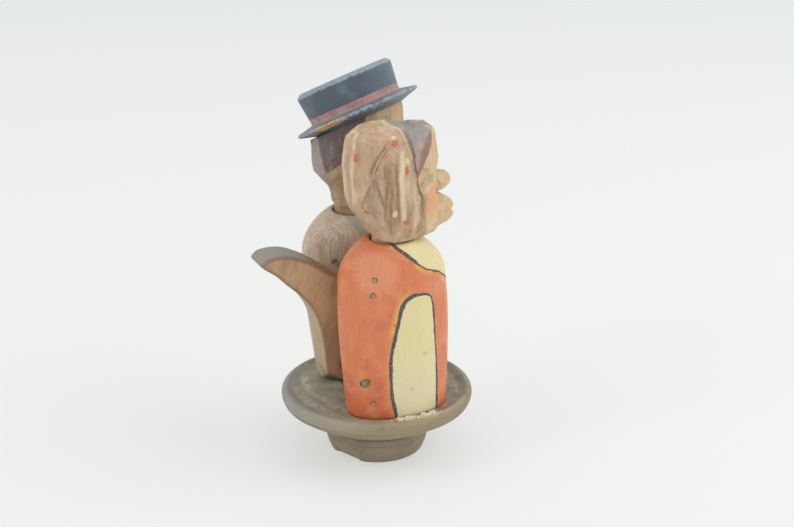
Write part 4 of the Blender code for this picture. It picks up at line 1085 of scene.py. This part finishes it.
def mouth(f, behind):
    """The lips of a head: all that stands in front of a place, between chin and nose."""
    return f.step(f.x, behind, behind + 1.0) * f.step(f.z, 60.0, 61.0) * f.step(f.z, 66.3, 65.3)


def dab_finish(name, colour):
    """A thin, worn dab of paint."""
    f = Finish(name)
    worn = f.noise(0.35, 3.0)
    return f.finish(f.shade(colour, 0.86 + worn * 0.28), 0.5 + worn * 0.1, worn * 0.03, 0.3, 0.4)


def man_head_finish(look, woman):
    """Carved face and nape with brown washed hair, painted light on the back of the hair and painted shade
    low on the face.
    """
    f = Finish("man_head_paint")
    edge = (f.noise(0.9, 3.0) - 0.5) * 0.5
    across = abs(f.y - MAN_Y)
    skin, fibre = carved_wood(f, look.skin, woman.skin, woman.scarf_dark, (1, 1, 0.25))
    # Painted shade: the skin darker low on the face.
    skin = f.mix(skin, woman.scarf_dark, f.step(f.z, 72.0, 66.0) * 0.35)
    hair = f.mix(look.hair, woman.hair, f.patches(0.48, 0.75, 1.0, 3.0, (1, 1, 0.2)) * 0.4)
    # Painted light on the hair at the back of the head.
    hair = f.mix(hair, look.hair_painted_light, f.mask("rear") * (0.6 + 0.4 * f.step(fibre, 0.4, 0.6)))
    face = f.mix(skin, woman.blush, spot(f, (6.4, 4.6, 66.0), across, 2.4, (1, 1, 0.8)) * 0.4)
    face = f.mix(face, woman.eye, spot(f, (6.0, 4.6, 71.6), across, 0.8, (0.8, 1, 1)) * 0.8)
    face = f.mix(face, woman.lips, mouth(f, 10.4) * 0.5)
    f.colour = f.mix(face, hair, f.step(f.mask("hair") + edge * 0.6, -0.1, 0.2))
    f.lay(woman.scarf_dark, f.mask("dirt") * 0.8)
    return f.finish(f.colour, 0.5 + fibre * 0.14, fibre * 0.08 + f.noise(0.3) * 0.03, 0.4, 0.4)


def hat_band(f, look, radius, height):
    """Lays the dusty red band round the foot of the crown, and the bare seam below it."""
    ragged = (f.noise(0.8, 3.0) - 0.5) * 0.5
    level = height + ragged
    band = f.step(level, 1.15, 1.3) * f.step(level, 2.75, 2.5) * f.step(radius, 12.0, 11.6)
    dusty = f.mix(look.band, look.hat_worn_and_sheen, f.patches(0.4, 0.64, 3.0, 5.0, seed=5.0) * 0.4)
    f.lay(dusty, band * (0.6 + 0.3 * f.patches(0.4, 0.6, 2.6, 4.0, seed=9.0)))
    seam = f.step(radius, 12.3, 11.9) * f.step(level, 1.3, 1.15) * f.step(height, 0.6, 0.8)
    f.lay(look.chip, seam * 0.55)


def hat_finish(look):
    """Dark painted hat with a dusty red band, rubbed edges, a painted sheen on its front and chips of bare
    wood on the brim.
    """
    f = Finish("hat_paint")
    across, onward, height = f.mask("across"), f.mask("onward"), f.mask("height")
    radius = (across * across + onward * onward) ** 0.5
    around = f.joined(across / radius * 15.0, onward / radius * 15.0, height * 0.3)
    ticks = f.noise(0.30, 2.0, place=around)
    fibre = f.noise(0.5, 4.0, (1, 1, 0.25), f.joined(across, onward, height))
    clouds = f.noise(4.0, 4.0)
    # Clouded wear, and a painted sheen that lightens the hat towards its front.
    f.colour = f.mix(
        look.hat, look.hat_worn_and_sheen, f.step(clouds, 0.5, 0.8) * 0.25 + f.step(f.x, 1.0, 11.0) * 0.3)
    f.lay(look.hat_worn_and_sheen, f.step(fibre, 0.6, 0.8) * 0.2)
    f.lay(look.hat_worn_and_sheen, f.step(height, 7.95, 8.15) * (0.55 + 0.4 * f.step(fibre, 0.35, 0.6)))
    hat_band(f, look, radius, height)
    brim = f.step(radius, 11.2, 11.8) * f.step(height, 1.6, 1.2) * f.step(height, -0.9, -0.2)
    f.lay(look.hat_worn_and_sheen, brim * 0.35)
    rubbed = f.step(f.mask("hollow"), -0.012, -0.06) * f.patches(0.3, 0.5, 1.2, 3.0)
    f.lay(look.hat_worn_and_sheen, rubbed * 0.9)
    rim = f.step(radius, 12.4, 13.4)
    patchy = 0.4 + 0.6 * f.patches(0.42, 0.55, 2.4, 3.0, seed=8.0)
    f.lay(look.hat, rim * f.step(ticks, 0.53, 0.60) * patchy)
    f.lay(look.hat_worn_and_sheen, rim * f.step(ticks, 0.46, 0.40) * patchy * 0.8)
    broken = f.step(f.mask("chip") + (f.noise(0.6, 4.0) - 0.5) * 0.5, 0.25, 0.4)
    bare = f.mix(look.chip, look.hat, f.step(ticks, 0.54, 0.62) * 0.6)
    f.lay(bare, broken * 0.9)
    return f.finish(f.colour, 0.42 + clouds * 0.15, fibre * 0.05 + ticks * rim * 0.1, 0.35, 0.45)


def dish_dust(f, look, radius):
    """Lays dust, dark stain, rubbed flecks and old glue, most of it in the hollow."""
    hollow = f.step(radius, 20.6, 19.4) * f.step(f.z, 13.5, 14.4)
    film = hollow * (0.35 + 0.3 * f.step(f.y, -10.0, -17.0)) * f.step(f.x, 9.0, -2.0)
    f.lay(look.dish_dust, film)
    f.lay(look.dish_dark, hollow * f.patches(0.42, 0.6, 3.4, 4.0, seed=1.0) * 0.28)
    flecks = f.patches(0.54, 0.64, 0.7, 4.0, seed=11.0) * f.patches(0.4, 0.6, 4.0, 3.0, seed=12.0)
    f.lay(look.dish_worn, flecks * 0.5)
    dust = f.patches(0.48, 0.66, 2.0, 4.0, seed=8.0) * f.step(radius, 21.8, 20.5) * f.step(f.z, 13.5, 14.5)
    f.lay(look.dish_dust, dust * 0.35)
    streak = f.mask("dust") * f.patches(0.36, 0.56, 0.9, 4.0, seed=4.0)
    f.lay(look.glue, streak * 0.5)


def dish_rim(f, look, radius):
    """Rubs the rim of the dish: dust on top, bare wood on its edge and a painted grey reflection at the
    left.
    """
    rim = f.step(abs(radius - 21.5), 0.9, 0.2) * f.step(f.z, 14.6, 15.2)
    f.lay(look.dish_dust, rim * f.patches(0.36, 0.6, 2.4, 4.0, seed=5.0) * 0.4)
    worn = f.step(abs(f.z - 13.4), 0.45, 0.15) * f.step(radius, 21.2, 21.8)
    worn = worn * f.step(f.x - f.y * 0.3, 14.0, 4.0)
    f.lay(look.dish_worn, worn * f.patches(0.4, 0.54, 0.8, 4.0, seed=2.0) * 0.95)
    # Painted reflection: grey laid on the rim's left side.
    sheen = f.step(f.x, -7.0, -16.0) * f.step(radius, 19.0, 20.5) * f.step(f.z, 12.5, 14.0)
    f.lay(look.dish_reflection, sheen * 0.6)


def dish_finish(look, woman):
    """Grey-brown turned wood with dust and old glue in the hollow and a rubbed rim."""
    f = Finish("dish_stain")
    radius = (f.x * f.x + f.y * f.y) ** 0.5
    clouds = f.noise(5.0, 4.0)
    fibre = f.noise(0.8, 4.0, (0.25, 1, 1))
    f.colour = f.mix(look.dish, look.dish_dark, f.step(clouds, 0.44, 0.72) * 0.5)
    f.lay(look.dish_dark, f.step(fibre, 0.52, 0.75) * 0.35)
    dish_dust(f, look, radius)
    dish_rim(f, look, radius)
    # Painted shade: dark rings in the foot's bead grooves.
    for height in (4.75, 6.35):
        f.lay(look.dish_dark, f.step(abs(f.z - height), 0.24, 0.08) * f.step(radius, 10.0, 11.0) * 0.7)
    front = f.step(f.y, -4.0, -16.0) * f.step(radius, 19.5, 21.0) * 0.35
    f.lay(look.dish_worn, front + f.step(f.z, 12.5, 11.0) * 0.22)
    f.colour = f.shade(f.colour, 1.0 + 0.08 * f.step(f.z, 11.0, 8.5))
    f.colour = f.dab(f.colour, look.glue, (2.6, -19.4, 15.0), 4.6, 0.65, (0.8, 2.6, 1.0))
    f.colour = f.dab(f.colour, woman.dress, (10.4, -15.4, 14.9), 1.2, 0.8)
    # Painted shadow: a dark dab on the dish's floor under the lever's heel, between the bodies.
    f.colour = f.dab(f.colour, f.shade(look.dish_dark, 0.5), (-4.4, 5.0, 14.8), 3.2, 0.5)
    # Painted shade: darker in the hollows and grooves below the rim's top.
    lines = f.step(f.mask("hollow"), 0.012, 0.06)
    f.lay(look.dish_dark, lines * f.step(f.z, 14.2, 13.0) * 0.7)
    f.lay(look.dish_worn, f.mask("chip") * 0.25)
    return f.finish(f.colour, 0.52 + clouds * 0.14, fibre * 0.08 + f.noise(0.4) * 0.05, 0.4, 0.35)


def lever_finish(look):
    """Stained board with long grain, greyed on its edges, where thumbs have handled it."""
    f = Finish("lever_stain")
    lean = f.node("ShaderNodeMapping", None, {"Vector": f.here, "Rotation": (0.0, math.radians(-18), 0.0)})
    fibre = f.noise(0.5, 4.0, (1, 1, 0.06), lean)
    speck = f.noise(0.3, 3.0, (1, 1, 0.5), lean)
    broad = f.noise(3.0, 3.0, (1, 1, 0.25), lean)
    f.colour = f.mix(look.lever, look.lever_dark, f.step(fibre, 0.45, 0.75) * 0.5)
    f.lay(look.lever_dark, f.step(speck, 0.5, 0.75) * 0.3)
    f.lay(look.lever_dark, f.step(broad, 0.46, 0.66) * 0.55)
    f.lay(look.lever_dark, f.step(f.z, 42.0, 28.0) * 0.5)
    grey = f.shade(look.lever_grey, 0.88 + fibre * 0.24)
    low = f.mix(look.lever_grey, look.lever, 0.5 + 0.35 * f.step(broad, 0.4, 0.6))
    grey = f.mix(grey, f.shade(low, 0.88 + fibre * 0.2), f.step(f.z, 46.0, 43.0))
    grey = f.mix(grey, look.lever_dark, f.step(f.x, -19.5, -16.0) * f.step(f.z, 40.0, 44.0) * 0.9)
    f.lay(grey, f.mask("edge") * 0.92)
    rubbed = f.step(f.mask("hollow"), -0.014, -0.06) * f.step(f.x, -9.0, -12.0)
    f.lay(f.shade(look.lever_dark, 0.75), rubbed * 0.6)
    # Painted shade in the lever's hollows.
    f.lay(look.lever_dark, f.step(f.mask("hollow"), 0.015, 0.08) * 0.6)
    return f.finish(f.colour, 0.46 + fibre * 0.12, fibre * 0.07, 0.35, 0.4)


def dowel_finish(look):
    """Pale round stock of the hidden pegs and dowels."""
    f = Finish("dowel_wood")
    fibre = f.noise(0.4, 3.0, (1, 1, 0.08))
    colour = f.shade(look.dowel, 0.86 + fibre * 0.28)
    return f.finish(colour, 0.6 + fibre * 0.1, fibre * 0.05, 0.3, 0.3)


def steel_finish(look):
    """Dull, spotted steel of the nails and pins."""
    f = Finish("nail_steel")
    spots = f.noise(0.5, 4.0)
    colour = f.mix(look.steel, look.dish_dark, f.step(spots, 0.56, 0.7) * 0.5)
    # Painted shade: the shafts between the parts darker.
    colour = f.mix(colour, look.dish_dark, f.step(abs(f.y), 15.5, 14.5) * 0.85)
    return f.finish(colour, 0.5 + spots * 0.2, spots * 0.05, 0.3, 0.4, 0.2)


def glue_finish(name, tone, look):
    """Old, dusty glue."""
    f = Finish(name)
    dust = f.noise(0.5, 4.0)
    colour = f.mix(tone, look.dish_worn, f.step(dust, 0.54, 0.72) * 0.4)
    return f.finish(colour, 0.5 + dust * 0.15, dust * 0.05, 0.3, 0.4)


def floor_finish(look):
    """Pale floor that keeps the object's shadow soft: part lit, part with a light of its own."""
    f = Finish("floor_paper")
    far = f.step(f.y + f.x * 0.43, 150.0, 900.0)
    tone = f.mix(look.floor, look.floor_far, far)
    material = f.finish(tone, 0.9, None, 0.0, 0.1)
    glow = f.node("ShaderNodeEmission", None, {"Color": tone, "Strength": 1.0})
    path = f.node("ShaderNodeLightPath", output="Is Camera Ray")
    seen = path.math("MAXIMUM", path.also("Is Glossy Ray"))
    seen = seen.math("MAXIMUM", path.also("Is Transmission Ray"))
    blend = f.node(
        "ShaderNodeMixShader", None,
        {0: seen * look.glow, 1: Wire(f.tree, f.shader.outputs[0]), 2: glow})
    plug(f.tree, f.tree.nodes["Material Output"].inputs["Surface"], blend)
    return material


def looks(context):
    """The panel's groups of values."""
    scene = context.scene
    return scene.couple_woman, scene.couple_man, scene.couple_wood, scene.couple_knife


class COUPLE_OT_dish(bpy.types.Operator):
    """Turn and stain the dish with its foot"""
    bl_idname = "couple.dish"
    bl_label = "Dish"

    def execute(self, context):
        woman, _, wood, knife = looks(context)
        finish = dish_finish(wood, woman)
        solid = turned("dish", DISH_PROFILE, finish, knife.turning_depth / MM, 0.6, 3)
        dish = Carving(solid, knife.dish_grain)
        dish.relax(3)
        dish.slice(*FOOT_BREAK)
        dish.points[:, 2] = np.maximum(dish.points[:, 2], 0.0)
        dish.tint("chip", fade(-np.linalg.norm(dish.points - FOOT_BARE, axis=1), -3.0, -2.0))
        for path, width, strength in DISH_STREAKS:
            dish.stroke("dust", path, width, strength)
        dish.masks["hollow"] = dish.hollows(10)
        dish.piece("turned_dish", "base", "base_dish", "stained_dish", finish)
        return {"FINISHED"}


def fitted_body(node, knife):
    """A body with soft shoulders and a crisp foot that reaches down to the dish."""
    body = Carving(merged(node), knife.body_grain)
    height = body.points[:, 2]
    body.relax(10, fade(height, 15.6, 17.6))
    body.relax(2, fade(-height, -17.0, -15.6))
    body.points[:, 2] -= FOOT_DROP * fade(-body.points[:, 2], -16.4, -15.4)
    body.masks["hollow"] = body.hollows(8) * fade(height, 15.6, 16.4)
    return body


class COUPLE_OT_dress(bpy.types.Operator):
    """Paint the woman's body"""
    bl_idname = "couple.dress"
    bl_label = "Dress"

    def execute(self, context):
        woman, _, wood, knife = looks(context)
        body = fitted_body("woman_body", knife)
        body.outline("sleeve", SLEEVE)
        body.outline("blouse", BLOUSE)
        body.piece("painted_dress", "base", "woman_body", "orange_dress", dress_finish(woman, wood))
        return {"FINISHED"}


class COUPLE_OT_coat(bpy.types.Operator):
    """Stain the man's body"""
    bl_idname = "couple.coat"
    bl_label = "Coat"

    def execute(self, context):
        _, man, wood, knife = looks(context)
        body = fitted_body("man_body", knife)
        body.outline("shirt", SHIRT)
        body.piece("stained_coat", "base", "man_body", "brown_coat", coat_finish(man, wood))
        return {"FINISHED"}


class COUPLE_OT_woman_head(bpy.types.Operator):
    """Carve and paint the woman's head, with dabs of colour on her scarf"""
    bl_idname = "couple.woman_head"
    bl_label = "Woman's head"

    def execute(self, context):
        woman, _, _, knife = looks(context)
        head = Carving(merged("woman_head"), knife.head_grain)
        head.relax(2)
        facet = knife.facet_depth / MM
        scarf = inside(head.flat, SCARF_FRONT) < -0.4
        above_neck = head.points[:, 2] > NECK_TOP
        head.whittle(11, 60, facet * 0.7, 4.0, scarf & above_neck)
        head.whittle(12, 30, facet * 0.6, 3.0, ~scarf & above_neck & (head.points[:, 0] < WOMAN_FACE_X))
        for path, width, depth, dirt in SCARF_CUTS:
            head.gouge(path, width, depth, dirt)
            head.gouge(far_side(path), width, depth, dirt)
        for mask, path, width, strength in SCARF_STROKES:
            head.stroke(mask, path, width, strength)
            head.stroke(mask, far_side(path), width, strength)
        head.outline("front", SCARF_FRONT, 1)
        head.outline("hair", WOMAN_HAIR, 1)
        head.masks["lock"] = inside(head.flat, WOMAN_LOCK)
        head.masks["hollow"] = head.hollows(16)
        finish = woman_head_finish(woman)
        made = head.piece("carved_woman_head", "woman_head", "woman_head", "woman_head_paint", finish)
        for name, paint in (("red", woman.red), ("yellow", woman.yellow), ("green", woman.green)):
            places = [dab[1:] for dab in SCARF_DABS if dab[0] == name]
            finish = dab_finish(f"{name}_dab_paint", paint)
            mesh = dabbed(f"{name}_dabs", places, made, finish, knife.paint_depth, 5)
            shown(f"scarf_{name}_dabs", mesh, "woman_head")
        return {"FINISHED"}


class COUPLE_OT_man_head(bpy.types.Operator):
    """Carve and paint the man's head, up to the hat's seat"""
    bl_idname = "couple.man_head"
    bl_label = "Man's head"

    def execute(self, context):
        woman, man, _, knife = looks(context)
        head = Carving(merged("man_head"), knife.head_grain)
        head.relax(2)
        seat = hat_matrix()
        up = np.array(seat.to_3x3() @ Vector((0.0, 0.0, 1.0)))
        under_hat = (head.points - np.array(HAT_CENTRE)) @ up
        carved = (head.points[:, 2] > NECK_TOP) & (head.points[:, 0] < MAN_FACE_X) & (under_hat < HAT_REST)
        head.whittle(21, 60, knife.facet_depth / MM * 0.7, 4.0, carved)
        head.slice(*NAPE_CUT)
        for path, width, depth, dirt in MAN_CUTS:
            head.gouge(path, width, depth, dirt)
        head.points += up * (HEAD_LIFT * fade(under_hat, -2.7, -2.2))[:, None]
        head.outline("hair", MAN_HAIR, 1)
        across = MAN_Y - np.abs(head.points[:, 1] - MAN_Y)
        crease = np.interp(head.points[:, 2], *zip(*REAR_HAIR))
        head.masks["rear"] = fade(across - crease, -0.15, 0.15) * fade(-head.points[:, 0], 5.0, 6.0)
        head.masks["hollow"] = head.hollows(16)
        finish = man_head_finish(man, woman)
        head.piece("carved_man_head", "man_head", "man_head", "man_head_paint", finish)
        return {"FINISHED"}


class COUPLE_OT_hat(bpy.types.Operator):
    """Turn, chip and paint the hat"""
    bl_idname = "couple.hat"
    bl_label = "Hat"

    def execute(self, context):
        _, man, _, knife = looks(context)
        finish = hat_finish(man)
        solid = turned("hat", HAT_PROFILE, finish, knife.turning_depth / MM, 0.5, 7)
        hat = Carving(solid, knife.hat_grain)
        hat.relax(2)
        seat = hat_matrix()
        for seed, (place, reach) in enumerate(HAT_CHIPS):
            hat.chip(seed, seat.inverted() @ Vector(place), reach, 0.3)
        hat.relax(1)
        for key, values in zip(("across", "onward", "height"), hat.points.T):
            hat.masks[key] = values.copy()
        hat.masks["hollow"] = hat.hollows(10)
        hat.place(seat)
        hat.piece("painted_hat", "man_head", "man_hat", "hat_paint", finish)
        return {"FINISHED"}


class COUPLE_OT_lever(bpy.types.Operator):
    """Stain and handle the lever"""
    bl_idname = "couple.lever"
    bl_label = "Lever"

    def execute(self, context):
        _, _, wood, knife = looks(context)
        lever = Carving(merged("lever"), knife.lever_grain)
        lever.relax(3)
        lever.masks["edge"] = fade(-np.abs(lever.soft_normals(3)[:, 1]), -0.75, -0.5)
        lever.masks["hollow"] = lever.hollows(10)
        lever.piece("stained_lever", "lever", "lever", "lever_wood", lever_finish(wood))
        return {"FINISHED"}


class COUPLE_OT_glue(bpy.types.Operator):
    """Leave lumps of old glue along the woman's foot"""
    bl_idname = "couple.glue"
    bl_label = "Old glue"

    def execute(self, context):
        _, _, wood, _ = looks(context)
        for name, tone, path, lump, stray, seed in GLUE_SEAMS:
            finish = glue_finish(name, getattr(wood, tone), wood)
            shown(name, crumbled(name, path, finish, lump, stray, seed), "base")
        return {"FINISHED"}


class COUPLE_OT_small_parts(bpy.types.Operator):
    """Finish the pegs, dowels, pins and nails"""
    bl_idname = "couple.small_parts"
    bl_label = "Pegs and nails"

    def execute(self, context):
        _, _, wood, _ = looks(context)
        dowel = dowel_finish(wood)
        steel = steel_finish(wood)
        for name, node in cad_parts.items():
            if name.endswith(("dowel", "neck_peg")):
                finish = dowel
            elif name.endswith(("nail", "brad", "crank_pin")):
                finish = steel
            else:
                continue
            node.data.materials.clear()
            node.data.materials.append(finish)
        return {"FINISHED"}


def lamp(name, power, size, place):
    """A soft round lamp that shines on the couple."""
    light = bpy.data.lights.new(name, "AREA")
    light.shape = "DISK"
    light.size = size
    light.energy = power
    made = bpy.data.objects.new(name, light)
    made.location = place
    made.rotation_euler = (LAMP_AIM - made.location).to_track_quat("-Z", "Y").to_euler()
    bpy.context.scene.collection.objects.link(made)


class COUPLE_OT_stage(bpy.types.Operator):
    """Set the floor, the lights and the camera"""
    bl_idname = "couple.stage"
    bl_label = "Stage"

    def execute(self, context):
        look = context.scene.couple_stage
        mesh = bpy.data.meshes.new("floor")
        corners = [(x * FLOOR_REACH, y * FLOOR_REACH, 0) for x, y in ((-1, -1), (1, -1), (1, 1), (-1, 1))]
        mesh.from_pydata(corners, [], [(0, 1, 2, 3)])
        mesh.materials.append(floor_finish(look))
        floor = bpy.data.objects.new("floor", mesh)
        context.scene.collection.objects.link(floor)
        world = bpy.data.worlds.new("even_light")
        context.scene.world = world
        world.use_nodes = True
        sky = world.node_tree.nodes["Background"]
        sky.inputs["Color"].default_value = (1.0, 1.0, 1.0, 1.0)
        sky.inputs["Strength"].default_value = look.sky
        lamp("soft_key", look.key, 0.6, (0.45, -0.28, 0.50))
        lamp("soft_rim", look.rim, 0.24, (-0.62, -0.08, 0.56))
        camera = bpy.data.objects.new("camera", bpy.data.cameras.new("camera"))
        camera.data.lens = look.lens
        camera.data.clip_start = 0.01
        camera.location = look.place
        camera.rotation_euler = (math.pi / 2 - look.dip, 0.0, look.turn)
        context.scene.collection.objects.link(camera)
        context.scene.camera = camera
        context.scene.view_settings.view_transform = "Standard"
        return {"FINISHED"}


STEPS = (
    COUPLE_OT_stage, COUPLE_OT_dish, COUPLE_OT_dress, COUPLE_OT_coat, COUPLE_OT_woman_head,
    COUPLE_OT_man_head, COUPLE_OT_hat, COUPLE_OT_lever, COUPLE_OT_glue, COUPLE_OT_small_parts,
)
GROUPS = {
    "couple_woman": WomanLook, "couple_man": ManLook, "couple_wood": WoodLook,
    "couple_knife": KnifeLook, "couple_stage": StageLook,
}


class COUPLE_PT_sidebar(bpy.types.Panel):
    """The steps and their values"""
    bl_idname = "COUPLE_PT_sidebar"
    bl_label = "Kissing Couple"
    bl_space_type = "VIEW_3D"
    bl_region_type = "UI"
    bl_category = "Couple"

    def draw(self, context):
        for step in STEPS:
            self.layout.operator(step.bl_idname)
        for name, group in GROUPS.items():
            box = self.layout.box()
            box.label(text=group.__doc__)
            for key in group.__annotations__:
                box.prop(getattr(context.scene, name), key)


def register():
    for group in GROUPS.values():
        bpy.utils.register_class(group)
    for name, group in GROUPS.items():
        setattr(bpy.types.Scene, name, bpy.props.PointerProperty(type=group))
    for step in STEPS:
        bpy.utils.register_class(step)
    bpy.utils.register_class(COUPLE_PT_sidebar)


def unregister():
    bpy.utils.unregister_class(COUPLE_PT_sidebar)
    for step in reversed(STEPS):
        bpy.utils.unregister_class(step)
    for name, group in GROUPS.items():
        delattr(bpy.types.Scene, name)
        bpy.utils.unregister_class(group)


def main():
    """Registers the add-on and makes every piece in order."""
    register()
    for step in STEPS:
        family, name = step.bl_idname.split(".")
        getattr(getattr(bpy.ops, family), name)()


if __name__ == "__main__":
    main()
